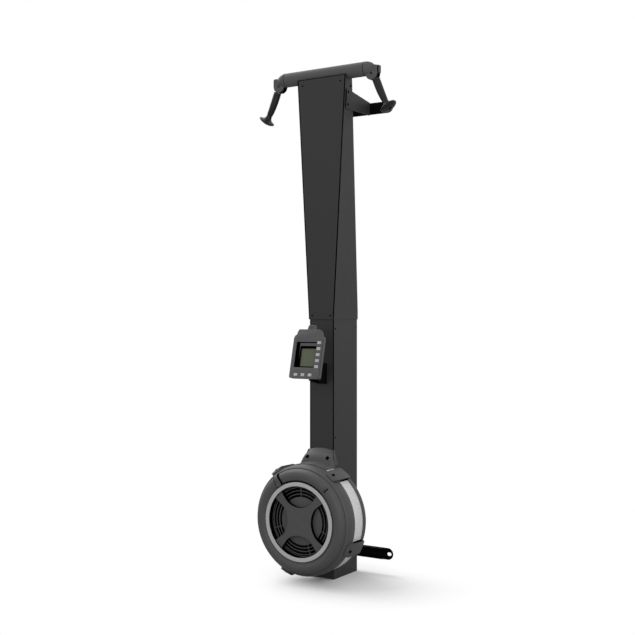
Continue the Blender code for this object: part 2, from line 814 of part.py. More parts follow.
def shaft_group():
    """The shaft, its two bearings and the welded frame that carries them inside the column."""
    half = LOWER_WIDTH / 2 - SHEET - GAP
    outer = [(-half, ahead(-CARRIER_FRONT)), (half, ahead(-CARRIER_FRONT))]
    outer += [(half, ahead(-CARRIER_BACK)), (-half, ahead(-CARRIER_BACK))]
    side_wall = 0.004
    near = ahead(-CARRIER_FRONT - CARRIER_PLATE)
    far = ahead(-CARRIER_BACK + CARRIER_PLATE)
    inner = [(-half + side_wall, near), (half - side_wall, near), (half - side_wall, far), (-half + side_wall, far)]
    carrier = plate("shaft_carrier", outer, 2 * CARRIER_HALF_HEIGHT, BLACK_PAINT, [inner], facing=(0, 0, 0))
    carrier.location.z = SHAFT_Z
    seat = rod(
        "bearing_seat", (0, ahead(0.05), SHAFT_Z), (0, ahead(-0.2), SHAFT_Z), BEARING_RADIUS + GAP, sides=24
    )
    combine(carrier, seat)
    section = [
        (BEARING_RADIUS, BEARING_WIDTH / 2),
        (BEARING_RADIUS, -BEARING_WIDTH / 2),
        (SHAFT_RADIUS + GAP, -BEARING_WIDTH / 2),
        (SHAFT_RADIUS + GAP, BEARING_WIDTH / 2),
    ]
    for word, behind in (
        ("front_bearing", CARRIER_FRONT + CARRIER_PLATE / 2),
        ("rear_bearing", CARRIER_BACK - CARRIER_PLATE / 2),
    ):
        bearing = turned(word, section, STEEL, steps=24)
        bearing.rotation_euler = FACING_FRONT
        bearing.location = (0, ahead(-behind), SHAFT_Z)
    rod(
        "flywheel_shaft",
        (0, ahead(SHAFT_FRONT), SHAFT_Z),
        (0, ahead(-SHAFT_BACK), SHAFT_Z),
        SHAFT_RADIUS,
        STEEL,
        sides=24,
    )


def flywheel():
    """The fan: a web disc and a hub with straight radial vanes."""
    outline = []
    for k in range(VANES):
        angle = 2 * math.pi * k / VANES
        across = Vector((-math.sin(angle), math.cos(angle))) * (VANE_THICKNESS / 2)
        along = Vector((math.cos(angle), math.sin(angle)))
        foot = along * FLYWHEEL_HUB_RADIUS
        tip = along * (FLYWHEEL_RADIUS - 0.004)
        outline += [foot - across, tip - across, tip + across, foot + across]
    outline = [(p.x, p.y) for p in outline]
    depth = FLYWHEEL_FRONT - FLYWHEEL_WEB_BACK
    bore = circle(0, 0, SHAFT_RADIUS + GAP, 24)
    wheel = plate("flywheel", outline, depth, NYLON, [bore])
    wheel.location = (0, ahead(FLYWHEEL_WEB_BACK + depth / 2), SHAFT_Z)
    section = [
        (FLYWHEEL_RADIUS, FLYWHEEL_WEB_FRONT),
        (FLYWHEEL_RADIUS, FLYWHEEL_WEB_BACK - 0.001),
        (FLYWHEEL_HUB_RADIUS / 2, FLYWHEEL_WEB_BACK - 0.001),
        (FLYWHEEL_HUB_RADIUS / 2, FLYWHEEL_WEB_FRONT),
    ]
    web = turned("flywheel_web", section, None, steps=36)
    web.rotation_euler = FACING_FRONT
    web.location = (0, FRONT_Y, SHAFT_Z)
    join(wheel, web)


def on_shaft(obj):
    """Place a turned piece whose heights are distances ahead of the column, on the shaft's axis."""
    obj.rotation_euler = FACING_FRONT
    obj.location = (0, FRONT_Y, SHAFT_Z)
    return obj


def bulge_profile():
    """Outer side of the front shell, from the lever's slot out to the crease, in 95ths of its width."""
    inner = SLOT_OUTER - 0.001
    width = HOUSING_RADIUS - BULGE_TO_RIM - inner
    rises = ((0, -0.0022), (19, 0.0033), (43, 0.0048), (67, 0.0003), (85, -0.0092), (95, -0.0202))
    return [(inner + width * station / 95, RING_FACE + rise) for station, rise in rises]


def housing():
    """The two shells, the mesh band between them and the four clips that bridge it."""
    collar = COLLAR_RADIUS
    seat = RING_FACE - RING_THICKNESS - GAP
    front_profile = [(collar, COLLAR_BACK), (collar, seat), (RING_OUTER + 0.0008, seat)]
    front_profile += bulge_profile()
    front_profile += [
        (HOUSING_RADIUS - 0.0085, 0.1575),
        (HOUSING_RADIUS - 0.0025, 0.1490),
        (HOUSING_RADIUS, 0.1390),
        (HOUSING_RADIUS, BAND_FRONT),
    ]
    front = on_shaft(turned("front_shell", front_profile, SHELL, steps=ROUND_STEPS, closed=False, wall=SHELL_WALL))
    slot_section = rectangle(SLOT_INNER, 0.160, SLOT_OUTER, 0.200)
    slot_section = [slot_section[2], slot_section[1], slot_section[0], slot_section[3]]
    slot_span = LEVER_TRAVEL + LEVER_SPAN + 3.0
    slot = turned(
        "lever_slot",
        slot_section,
        None,
        steps=18,
        span=slot_span,
        middle=LEVER_ANGLE - LEVER_TRAVEL / 2,
    )
    capped(slot)
    on_shaft(slot)
    combine(front, slot)

    rear_profile = [
        (SHAFT_RADIUS + 0.004, GAP + SHELL_WALL),
        (SHAFT_RADIUS + 0.004, GAP),
        (HOUSING_RADIUS - 0.039, GAP),
        (HOUSING_RADIUS - 0.023, 0.005),
        (HOUSING_RADIUS - 0.005, 0.0160),
        (HOUSING_RADIUS, 0.0270),
        (HOUSING_RADIUS, BAND_BACK),
        (HOUSING_RADIUS - SHELL_WALL, BAND_BACK),
        (HOUSING_RADIUS - SHELL_WALL, 0.0280),
        (HOUSING_RADIUS - 0.0075, 0.0185),
        (HOUSING_RADIUS - 0.0245, 0.0083),
        (HOUSING_RADIUS - 0.040, GAP + SHELL_WALL),
    ]
    on_shaft(turned("rear_shell", rear_profile[::-1], SHELL, steps=ROUND_STEPS))

    band_outer = HOUSING_RADIUS - SHELL_WALL - GAP
    band_section = [
        (band_outer, BAND_FRONT + BAND_LAP),
        (band_outer, BAND_BACK - BAND_LAP),
        (band_outer - BAND_WALL, BAND_BACK - BAND_LAP),
        (band_outer - BAND_WALL, BAND_FRONT + BAND_LAP),
    ]
    on_shaft(turned("mesh_band", band_section, BAND, steps=ROUND_STEPS))

    for index, angle in enumerate(CLIP_ANGLES, 1):
        clip_block(f"clip_{index}", angle, SHELL)


def clip_steps():
    """How many flat steps a clip needs so that none of them dips to the round shell under it."""
    steps = 2
    while HOUSING_RADIUS * (1 - math.cos(math.radians(CLIP_SPAN / 2 / steps))) > 0.9 * GAP:
        steps += 1
    return steps


def clip_block(name, angle, material=None, grow=0.0):
    """One clip over the housing's rim, or its clearance when it is grown."""
    outer = HOUSING_RADIUS + CLIP_HEIGHT + grow
    inner = HOUSING_RADIUS + GAP - grow
    chamfer = 0.003
    front = CLIP_FRONT + grow
    back = CLIP_BACK - grow
    profile = [
        (outer - chamfer, front),
        (outer, front - chamfer),
        (outer, back + chamfer),
        (outer - chamfer, back),
        (inner, back),
        (inner, front),
    ]
    if not grow:
        lining = outer - CLIP_WALL
        hollow_back = BAND_BACK + 0.003
        hollow_front = BAND_FRONT - 0.003
        hollow = [(inner, hollow_back), (lining, hollow_back), (lining, hollow_front), (inner, hollow_front)]
        profile[-1:-1] = hollow
    span = CLIP_SPAN + math.degrees(2 * grow / HOUSING_RADIUS)
    clip = turned(name, profile, material, steps=clip_steps(), span=span, middle=angle)
    capped(clip)
    return on_shaft(clip)


def capped(obj):
    """Close the two ends of a section that is swept through less than a full turn."""
    bpy.context.view_layer.update()
    graph = bpy.context.evaluated_depsgraph_get()
    mesh = bpy.data.meshes.new_from_object(obj.evaluated_get(graph))
    shape = bmesh.new()
    shape.from_mesh(mesh)
    bmesh.ops.holes_fill(shape, edges=[edge for edge in shape.edges if edge.is_boundary])
    bmesh.ops.recalc_face_normals(shape, faces=shape.faces)
    shape.to_mesh(mesh)
    shape.free()
    obj.modifiers.clear()
    obj.data = mesh


def cover_radius():
    """Radius of the discs that fit inside the collar, whose sides are flat between its steps."""
    return COLLAR_RADIUS * math.cos(math.pi / ROUND_STEPS) - GAP


def trim_and_hub():
    """The grey ring and the four-armed cover: a disc less four round openings."""
    section = [
        (RING_OUTER - 0.001, RING_FACE),
        (RING_OUTER, RING_FACE - 0.001),
        (RING_OUTER, RING_FACE - RING_THICKNESS),
        (RING_INNER, RING_FACE - RING_THICKNESS),
        (RING_INNER, RING_FACE - 0.001),
        (RING_INNER + 0.001, RING_FACE),
    ]
    on_shaft(turned("trim_ring", section, RING, steps=ROUND_STEPS))

    reach = cover_radius()
    # Height along an opening's own axis where its edge meets the rim of the cover
    meeting = (reach**2 + OPENING_CENTRE**2 - OPENING_RADIUS**2) / (2 * OPENING_CENTRE)
    rim_angle = math.degrees(math.acos(meeting / reach))
    cut_angle = math.degrees(math.atan2(reach * math.sin(math.radians(rim_angle)), meeting - OPENING_CENTRE))
    outline = []
    for quarter in range(4):
        axis = 90.0 * quarter
        x = OPENING_CENTRE * math.cos(math.radians(axis))
        z = OPENING_CENTRE * math.sin(math.radians(axis))
        outline += arc(x, z, OPENING_RADIUS, axis - cut_angle + 360, axis + cut_angle, 9)
        outline += arc(0, 0, reach, axis + rim_angle, axis + 90 - rim_angle, 4)[1:-1]
    cover = plate("hub_cover", outline, HUB_COVER_THICKNESS, SHELL)
    cover.location = (0, ahead(HUB_COVER_FACE - HUB_COVER_THICKNESS / 2), SHAFT_Z)


def grille_and_shutter():
    """The slotted air grille behind the cover, and the damper's shutter disc behind that."""
    reach = cover_radius()
    pitch = (reach - GRILLE_RIM - GRILLE_DISC_RADIUS) / GRILLE_SLOTS
    holes = []
    for ring in range(GRILLE_SLOTS):
        inner = GRILLE_DISC_RADIUS + pitch * ring + 0.0025
        outer = inner + pitch - 0.004
        for sector in range(GRILLE_SECTORS):
            start = 360 / GRILLE_SECTORS * sector + 3
            end = start + 360 / GRILLE_SECTORS - 6
            holes.append(arc(0, 0, outer, start, end, 5) + arc(0, 0, inner, end, start, 5))
    grille = plate("air_grille", circle(0, 0, reach, ROUND_STEPS), GRILLE_THICKNESS, SHELL, holes)
    grille.location = (0, ahead(GRILLE_FACE - GRILLE_THICKNESS / 2), SHAFT_Z)
    boss = rod(
        "grille_boss",
        (0, ahead(GRILLE_FACE - GRILLE_THICKNESS / 2), SHAFT_Z),
        (0, ahead(SHUTTER_FACE - SHUTTER_THICKNESS - 0.001), SHAFT_Z),
        SHUTTER_BORE - GAP,
    )
    join(grille, boss)
    post = rod(
        "grille_post",
        (0, ahead(GRILLE_FACE - GRILLE_THICKNESS / 2), SHAFT_Z),
        (0, ahead(HUB_COVER_FACE - HUB_COVER_THICKNESS - GAP), SHAFT_Z),
        SHUTTER_BORE,
    )
    join(grille, post)

    windows = []
    for sector in range(4):
        start = 90 * sector + 8
        far = SHUTTER_RADIUS - SHUTTER_RIM
        near = far - SHUTTER_WINDOW
        windows.append(arc(0, 0, far, start, start + 40, 6) + arc(0, 0, near, start + 40, start, 6))
    bore = circle(0, 0, SHUTTER_BORE, 20)
    outer = circle(0, 0, SHUTTER_RADIUS, 40)
    shutter = plate("damper_shutter", outer, SHUTTER_THICKNESS, NYLON, [bore, *windows])
    shutter.location = (0, ahead(SHUTTER_FACE - SHUTTER_THICKNESS / 2), SHAFT_Z)


def damper_lever():
    """The lever: from the shutter out through the slot, over the bulge and down to the crease."""
    stem_inner = SLOT_INNER + 0.0008
    stem_outer = SLOT_OUTER - 0.0008
    lift = LEVER_LIFT + LEVER_THICKNESS
    over = [(r + lift * 0.35, z + lift) for r, z in bulge_profile()[1:4]]
    over += [(r + lift, z + lift * 0.35) for r, z in bulge_profile()[4:]]
    under = [(r + LEVER_LIFT * 0.35, z + LEVER_LIFT) for r, z in bulge_profile()[1:4]]
    under += [(r + LEVER_LIFT, z + LEVER_LIFT * 0.35) for r, z in bulge_profile()[4:]]
    foot = SHUTTER_FACE
    profile = [(stem_inner, RING_FACE + 0.0065)] + over + under[::-1]
    profile += [
        (stem_outer, RING_FACE + 0.0003),
        (stem_outer, foot - SHUTTER_THICKNESS),
        (SHUTTER_RADIUS + GAP, foot - SHUTTER_THICKNESS),
        (SHUTTER_RADIUS + GAP, foot),
        (stem_inner, foot),
    ]
    lever = turned("damper_lever", profile, SHELL, steps=3, span=LEVER_SPAN, middle=LEVER_ANGLE)
    capped(lever)
    on_shaft(lever)


def neck_cover():
    """The cowl between the housing and the column: a folded sheet cut to the housing's circle."""
    wing = LOWER_WIDTH / 2 + GAP + NECK_WALL
    # Height, half width, distance ahead of the column, and how far back the wings reach
    shape = (
        (NECK_BOTTOM_Z, wing + 0.019, 0.062, 0.046),
        (NECK_MIDDLE_Z, wing + 0.0075, 0.037, 0.014),
        (NECK_TOP_Z, wing, NECK_WALL + 0.0012, 0.006),
    )
    stations = []
    for z, half, front, back in shape:
        chamfer = min(0.012, front - 0.0008)
        row = [(-half, ahead(-back)), (-half, ahead(front - chamfer)), (chamfer - half, ahead(front))]
        stations.append((z, row + [(-x, y) for x, y in reversed(row)]))
    cover = channel("neck_cover", stations, SHELL)
    cover.modifiers["sheet"].thickness = NECK_WALL
    saddle_section = [
        (HOUSING_RADIUS + GAP + NECK_SADDLE, BAND_FRONT + 0.004),
        (HOUSING_RADIUS + GAP + NECK_SADDLE, CLIP_BACK),
        (HOUSING_RADIUS - 0.003, CLIP_BACK),
        (HOUSING_RADIUS - 0.003, BAND_FRONT + 0.004),
    ]
    saddle = turned("neck_saddle", saddle_section, None, steps=9, span=NECK_SADDLE_SPAN, middle=90.0)
    capped(saddle)
    join(cover, on_shaft(saddle))
    circle_cut = rod(
        "housing_clearance",
        (0, ahead(0.3), SHAFT_Z),
        (0, ahead(-0.3), SHAFT_Z),
        HOUSING_RADIUS + GAP,
        sides=120,
    )
    combine(cover, circle_cut)
    for index, angle in enumerate(CLIP_ANGLES, 1):
        combine(cover, clip_block(f"clip_{index}_clearance", angle, grow=GAP))


def wall_brackets():
    """The lower bar with its folded flanges, the top plate and the two gussets."""
    half = BRACKET_HEIGHT / 2
    straight = BRACKET_HALF_LENGTH - half
    centre = ahead(-(WALL_BEHIND - BRACKET_PLATE / 2))
    ends = arc(straight, 0, half, -90, 90, 9)
    outline = mirrored(ends)
    holes = [circle(side * BRACKET_HOLE_X, 0, BRACKET_HOLE_RADIUS, 16) for side in (-1, 1)]
    lower = plate("lower_wall_bracket", outline, BRACKET_PLATE, BLACK_PAINT, holes)
    lower.location = (0, centre, LOWER_BRACKET_Z)
    for word, sign in (("top", 1), ("bottom", -1)):
        edge = LOWER_BRACKET_Z + sign * LOWER_CHANNEL_HEIGHT / 2
        z = sorted((edge, edge - sign * BRACKET_PLATE))
        flange = block(
            "lower_bracket_" + word,
            (-LOWER_CHANNEL_HALF, -FRONT_Y + GAP, z[0]),
            (LOWER_CHANNEL_HALF, centre, z[1]),
        )
        join(lower, flange)

    top = plate("top_wall_plate", outline, TOP_PLATE, BLACK_PAINT, holes)
    top.location = (0, ahead(-(WALL_BEHIND - TOP_PLATE / 2)), TOP_BRACKET_Z)

    lean = math.atan2(upper_half_width(UPPER_TOP_Z) - upper_half_width(TAPER_START_Z), UPPER_TOP_Z - TAPER_START_Z)
    rear = WALL_BEHIND - TOP_PLATE - GAP
    corner = 0.006
    outline = [
        (GUSSET_FRONT_BEHIND + corner, 0),
        (rear, 0),
        (rear, GUSSET_REAR_HEIGHT),
        (GUSSET_FRONT_BEHIND + corner, GUSSET_FRONT_HEIGHT),
        (GUSSET_FRONT_BEHIND, GUSSET_FRONT_HEIGHT - corner),
        (GUSSET_FRONT_BEHIND, corner),
    ]
    for side, word in ((-1, "left"), (1, "right")):
        gusset = plate(word + "_gusset", outline, GUSSET_THICKNESS, PAINT, facing=FACING_SIDE)
        out = upper_half_width(GUSSET_BOTTOM_Z) + (GAP + GUSSET_THICKNESS / 2) / math.cos(lean)
        gusset.rotation_mode = "QUATERNION"
        from_upright = Vector((side * math.tan(lean), 0, 1)).normalized()
        turn = Vector((0, 0, 1)).rotation_difference(from_upright)
        gusset.rotation_quaternion = turn @ gusset.matrix_world.to_quaternion()
        gusset.location = (side * out, FRONT_Y, GUSSET_BOTTOM_Z)


def case_outline(inset=0.0):
    """Outline of the monitor: rounded below, with stepped and chamfered shoulders above."""
    w = MONITOR_HALF_WIDTH - inset
    h = MONITOR_HALF_HEIGHT - inset
    right = [(w - 0.008, -h)] + arc(w - 0.008, 0.008 - h, 0.008, -60, 0, 3)
    right += [(w, h - 0.0375), (w - 0.005, h - 0.0265), (w - 0.0135, h - 0.0215)]
    right += [(w - 0.0145, h - 0.0120), (w - 0.0215, h)]
    return mirrored(right)


def button_places():
    """Middle of each button on the monitor's face, with its name."""
    places = []
    for i in range(SIDE_BUTTONS):
        places.append((f"side_button_{i + 1}", SIDE_BUTTON_X, SIDE_BUTTON_TOP - SIDE_BUTTON_PITCH * i))
    for i in range(ROW_BUTTONS):
        places.append((f"row_button_{i + 1}", ROW_BUTTON_LEFT + ROW_BUTTON_PITCH * i, ROW_BUTTON_Z))
    return places


def in_monitor(obj, frame, x=0.0, y=0.0, z=0.0):
    """Place a piece in the monitor's own frame: y is the depth behind its face."""
    obj.parent = frame
    obj.location = (x, y, z)
    return obj


def face_plate(name, outline, front, back, frame, material=None, holes=()):
    """A plate in the monitor's frame between two depths behind its face."""
    obj = plate(name, outline, back - front, material, holes)
    return in_monitor(obj, frame, y=(front + back) / 2)


def monitor():
    """The tilting monitor: two case halves, display, board and eight buttons."""
    frame = bpy.data.objects.new("monitor_frame", None)
    PARTS.objects.link(frame)
    frame.location = (0, ahead(MONITOR_FACE_AHEAD), MONITOR_Z)
    frame.rotation_euler = (-MONITOR_TILT, 0, 0)

    window = rectangle(WINDOW_LEFT, WINDOW_BOTTOM, WINDOW_RIGHT, WINDOW_TOP)
    wall = BEZEL_WALL
    bezel = rectangle(WINDOW_LEFT - wall, WINDOW_BOTTOM - wall, WINDOW_RIGHT + wall, WINDOW_TOP + wall)
    holes = [window]
    for _, x, z in button_places():
        half_w = BUTTON_WIDTH / 2 + GAP
        half_h = BUTTON_HEIGHT / 2 + GAP
        holes.append(rectangle(x - half_w, z - half_h, x + half_w, z + half_h))
    outer = case_outline()
    inner = case_outline(CASE_WALL)
    front = face_plate("monitor_front_case", outer, 0.0, CASE_WALL, frame, CASE, holes)
    rim = face_plate("front_case_rim", outer, CASE_WALL - 0.0002, FRONT_CASE_DEPTH, frame, None, [inner])
    join(front, rim)
    frame_wall = face_plate("front_case_bezel", bezel, CASE_WALL - 0.0002, DISPLAY_DEPTH - GAP, frame, None, [window])
    join(front, frame_wall)

    lap = 0.0009
    shown = rectangle(WINDOW_LEFT - lap, WINDOW_BOTTOM - lap, WINDOW_RIGHT + lap, WINDOW_TOP + lap)
    face_plate("display", shown, DISPLAY_DEPTH, DISPLAY_DEPTH + DISPLAY_THICKNESS, frame, GLASS)
    board_front = DISPLAY_DEPTH + DISPLAY_THICKNESS + GAP
    half_board = MONITOR_HALF_WIDTH - BACK_CASE_INSET - CASE_WALL - 0.004
    board = rectangle(-half_board, -0.082, half_board, 0.062)
    face_plate("circuit_board", board, board_front, board_front + BOARD_THICKNESS, frame, BOARD)

    back_front = FRONT_CASE_DEPTH + GAP
    rear_wall = BACK_CASE_DEPTH - CASE_WALL
    back_outer = case_outline(BACK_CASE_INSET)
    back_inner = case_outline(BACK_CASE_INSET + CASE_WALL)
    lip_inner = case_outline(BACK_CASE_INSET + CASE_WALL)
    back = face_plate("monitor_back_case", back_outer, rear_wall, BACK_CASE_DEPTH, frame, CASE)
    sides = face_plate("back_case_sides", back_outer, back_front + 0.002, rear_wall + 0.0002, frame, None, [back_inner])
    join(back, sides)
    lip = face_plate("back_case_lip", outer, back_front, back_front + 0.0022, frame, None, [lip_inner])
    join(back, lip)
    tab_half = 0.017
    tab = face_plate(
        "back_case_tab",
        [
            (-tab_half - 0.0055, MONITOR_HALF_HEIGHT - BACK_CASE_INSET - 0.002),
            (tab_half + 0.0055, MONITOR_HALF_HEIGHT - BACK_CASE_INSET - 0.002),
            (tab_half, MONITOR_HALF_HEIGHT + 0.017),
            (-tab_half, MONITOR_HALF_HEIGHT + 0.017),
        ],
        back_front + 0.0004,
        back_front + 0.012,
        frame,
    )
    join(back, tab)
    lug_outline = arc(PIVOT_DEPTH, PIVOT_DROP, LUG_RADIUS, 70, -70, 8)
    lug_outline += [(rear_wall + 0.0005, PIVOT_DROP - LUG_RADIUS), (rear_wall + 0.0005, PIVOT_DROP + LUG_RADIUS)]
    hole = circle(PIVOT_DEPTH, PIVOT_DROP, PIVOT_PIN_RADIUS + GAP, 14)
    lug = plate("back_case_lug", lug_outline, 2 * LUG_HALF_WIDTH, None, [hole], facing=FACING_SIDE)
    in_monitor(lug, frame)
    join(back, lug)

    for name, x, z in button_places():
        half_w = BUTTON_WIDTH / 2
        half_h = BUTTON_HEIGHT / 2
        button = block(name, (-half_w, -BUTTON_PROUD, -half_h), (half_w, BUTTON_DEPTH, half_h), BUTTON)
        in_monitor(button, frame, x, (BUTTON_DEPTH - BUTTON_PROUD) / 2, z)
        edge = button.modifiers.new("edge", "BEVEL")
        edge.width = 0.0006
        edge.segments = 1
    return frame


def pivot_point():
    """World place of the monitor's pivot, as (ahead, height)."""
    sine = math.sin(MONITOR_TILT)
    cosine = math.cos(MONITOR_TILT)
    forward = MONITOR_FACE_AHEAD - PIVOT_DEPTH * cosine - PIVOT_DROP * sine
    height = MONITOR_Z - PIVOT_DEPTH * sine + PIVOT_DROP * cosine
    return forward, height


def monitor_arm():
    """The arm: a base plate on the column and two cheeks that hold the pivot pin."""
    forward, height = pivot_point()
    cheek_inner = LUG_HALF_WIDTH + GAP
    cheek_outer = cheek_inner + ARM_CHEEK
    edge = 0.002
    arm = block(
        "monitor_arm",
        (-cheek_outer - edge, ahead(GAP + ARM_CHEEK), ARM_BOTTOM_Z - edge),
        (cheek_outer + edge, ahead(GAP), ARM_TOP_Z + edge),
        BLACK_PAINT,
    )
    tip = arc(-forward, height, LUG_RADIUS + 0.001, 80, 200, 7)
    root = -GAP - ARM_CHEEK / 2
    outline = [(root, ARM_BOTTOM_Z), (root, ARM_TOP_Z)] + tip
    outline += [(-0.064, ARM_BOTTOM_Z + 0.014), (-0.050, ARM_BOTTOM_Z + 0.009)]
    hole = circle(-forward, height, PIVOT_PIN_RADIUS + GAP, 14)
    for side, word in ((-1, "left"), (1, "right")):
        cheek = plate("arm_cheek_" + word, outline, ARM_CHEEK, None, [hole], facing=FACING_SIDE)
        cheek.location = (side * (cheek_inner + ARM_CHEEK / 2), FRONT_Y, 0)
        join(arm, cheek)
    reach = cheek_outer + 0.001
    rod(
        "monitor_pivot_pin",
        (-reach, ahead(forward), height),
        (reach, ahead(forward), height),
        PIVOT_PIN_RADIUS,
        STEEL,
        sides=14,
    )


def build():
    """Make every piece."""
    lower_column()
    upper_column()
    crossbar()
    for side, word in ((-1, "left"), (1, "right")):
        cord_head(side, word)
        handle(side, word)
        end_cord(side, word)
    drive_cord(-1, "left", LEFT_DRUM_BEHIND)
    drive_cord(1, "right", RIGHT_DRUM_BEHIND)
    drum(-1, "left", LEFT_DRUM_BEHIND)
    drum(1, "right", RIGHT_DRUM_BEHIND)
    shock_cord()
    shaft_group()
    flywheel()
    housing()
    trim_and_hub()
    grille_and_shutter()
    damper_lever()
    neck_cover()
    wall_brackets()
    monitor_arm()
    monitor()


build()
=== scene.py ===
"""A wall-mounted ski trainer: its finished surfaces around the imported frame.

Metres. The origin is the middle of the column's foot, +X is to the right of someone who faces the
machine, +Y goes back to the wall and +Z goes up. "Ahead" is a distance from the front of the lower
column towards the user. A section is a row of (radius, distance along an axis).
"""

import json
import math

import bmesh
import bpy
import numpy as np
from mathutils import Matrix

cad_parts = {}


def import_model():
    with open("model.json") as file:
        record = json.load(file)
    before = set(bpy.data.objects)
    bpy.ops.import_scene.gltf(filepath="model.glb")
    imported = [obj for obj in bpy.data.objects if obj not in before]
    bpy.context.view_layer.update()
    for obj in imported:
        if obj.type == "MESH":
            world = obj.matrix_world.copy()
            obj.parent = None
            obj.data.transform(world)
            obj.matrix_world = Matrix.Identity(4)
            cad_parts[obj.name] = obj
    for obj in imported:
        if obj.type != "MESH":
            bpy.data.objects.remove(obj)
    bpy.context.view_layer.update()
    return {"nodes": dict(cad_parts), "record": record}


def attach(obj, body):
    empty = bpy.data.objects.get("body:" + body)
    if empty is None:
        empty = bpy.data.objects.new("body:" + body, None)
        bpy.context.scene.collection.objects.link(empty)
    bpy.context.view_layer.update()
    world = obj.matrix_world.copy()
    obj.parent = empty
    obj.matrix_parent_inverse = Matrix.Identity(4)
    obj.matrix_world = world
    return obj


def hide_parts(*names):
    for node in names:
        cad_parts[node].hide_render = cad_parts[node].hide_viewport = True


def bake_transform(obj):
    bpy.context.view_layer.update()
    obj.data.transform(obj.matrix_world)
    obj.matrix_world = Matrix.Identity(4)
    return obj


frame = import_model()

SCENE = bpy.context.scene

# Column
FRONT_Y = -0.09475
LOWER_HALF_WIDTH = 0.06025
TAPER_START_Z = 1.125
UPPER_TOP_Z = 2.114
UPPER_SEAM_HALF = 0.06255
UPPER_TOP_HALF = 0.121
COVER_FACE = 0.0051
COVER_TOP_Z = 2.1125

# Crossbar and heads
BAR_Y = -0.06705
BAR_Z = 2.130
BAR_RADIUS = 0.030
BAR_WALL = 0.003
BAR_HALF = 0.198
BAR_SLOT_HALF = 0.054
NOSE_START = 0.1985
NOSE_LENGTH = 0.0455
NOSE_TIP = 0.008
HEAD_X = 0.2321
HEAD_Z = 2.1055
HEAD_RADIUS = 0.0265
HEAD_OUTER_X = 0.2585
HEAD_TOP_Z = 2.1390
CHEEK_OUTER = 0.0155
CHEEK_INNER = 0.0088
GUARD_X = (0.2512, 0.2640)
GUARD_BOTTOM_Z = 2.107
PULLEY_PITCH = 0.0125
PIN_RADIUS = 0.004
CORD_RADIUS = 0.0025

# Handles
SPLAY = math.radians(27.2)
HANDLE_TOP = (0.247351, 2.081294)
HANDLE_LENGTH = 0.144
GRIP_RADIUS = 0.0165
NECK_RADIUS = 0.0122
FLARE_RADIUS = 0.0362
HANDLE_BORE = 0.008
HANDLE_BEND = math.radians(5.5)

# Housing
SHAFT_Z = 0.2646
SHELL_RADIUS = 0.229
SHELL_WALL = 0.003
BAND_FRONT = 0.110
BAND_BACK = 0.044
BAND_RADIUS = 0.2257
RING_INNER = 0.1460
RING_OUTER = 0.1627
RING_FACE = 0.1812
SLOT_ANGLES = (47.25, 129.75)
CLIP_ANGLES = (54.5, -25.0, -112.0, 125.5)
CLIP_RADIUS = 0.244
LEVER_ANGLE = 122.6

# Brackets
WALL_Y = 0.11125
LOWER_BRACKET_Z = 0.0875

# Monitor
MONITOR_AHEAD = 0.1184
MONITOR_Z = 0.950
MONITOR_TILT = math.radians(13.5)
MONITOR_HALF = (0.0722, 0.1035)
WINDOW = (-0.0552, -0.0575, 0.0443, 0.0502)

# View and light
CAMERA_AT = (2.3926, -3.8358, 1.0998)
CAMERA_TURN = math.radians(32.84)
CAMERA_LENS = 59.6
WORLD_LIGHT = 0.76

X, Y, Z = np.eye(3)
AHEAD_AXES = (X, Z, -Y)
HUB = np.array([0, FRONT_Y, SHAFT_Z])
BAR_AXES = (-Y, Z, X)
BAR_MIDDLE = (0, BAR_Y, BAR_Z)


def ahead(distance):
    """World Y of a point that is this far ahead of the lower column."""
    return FRONT_Y - distance


def from_front(points):
    """Points whose y counts back from the front of the lower column."""
    return points + (0, FRONT_Y, 0)


# Meshes


def meshed(name, points, faces, uv=None, sharp=35.0):
    """An object from points and faces: seams and poles merged, faces turned outwards, soft shading."""
    mesh = bpy.data.meshes.new(name)
    mesh.from_pydata(np.reshape(points, (-1, 3)).tolist(), [], faces)
    if uv is not None:
        mesh.uv_layers.new(name="UVMap").data.foreach_set("uv", np.ravel(uv))
    return linked(name, cleaned(mesh), sharp)


def cleaned(mesh, merge=1e-6, flat=False):
    """Merge a mesh's doubled points, make its flat faces whole if asked, and turn its faces outwards."""
    shape = bmesh.new()
    shape.from_mesh(mesh)
    bmesh.ops.remove_doubles(shape, verts=shape.verts, dist=merge)
    bmesh.ops.delete(shape, geom=[v for v in shape.verts if not v.link_faces], context="VERTS")
    if flat:
        bmesh.ops.dissolve_limit(shape, angle_limit=math.radians(0.5), verts=shape.verts, edges=shape.edges)
    bmesh.ops.recalc_face_normals(shape, faces=shape.faces)
    shape.to_mesh(mesh)
    shape.free()
    return mesh


def smoothed(mesh, sharp=35.0):
    """Shade a mesh smooth apart from its sharp edges."""
    mesh.shade_smooth()
    mesh.set_sharp_from_angle(angle=math.radians(sharp))
    return mesh


def linked(name, mesh, sharp=35.0):
    """An object at the origin for a mesh, smooth apart from its sharp edges."""
    obj = bpy.data.objects.new(name, smoothed(mesh, sharp))
    SCENE.collection.objects.link(obj)
    return obj


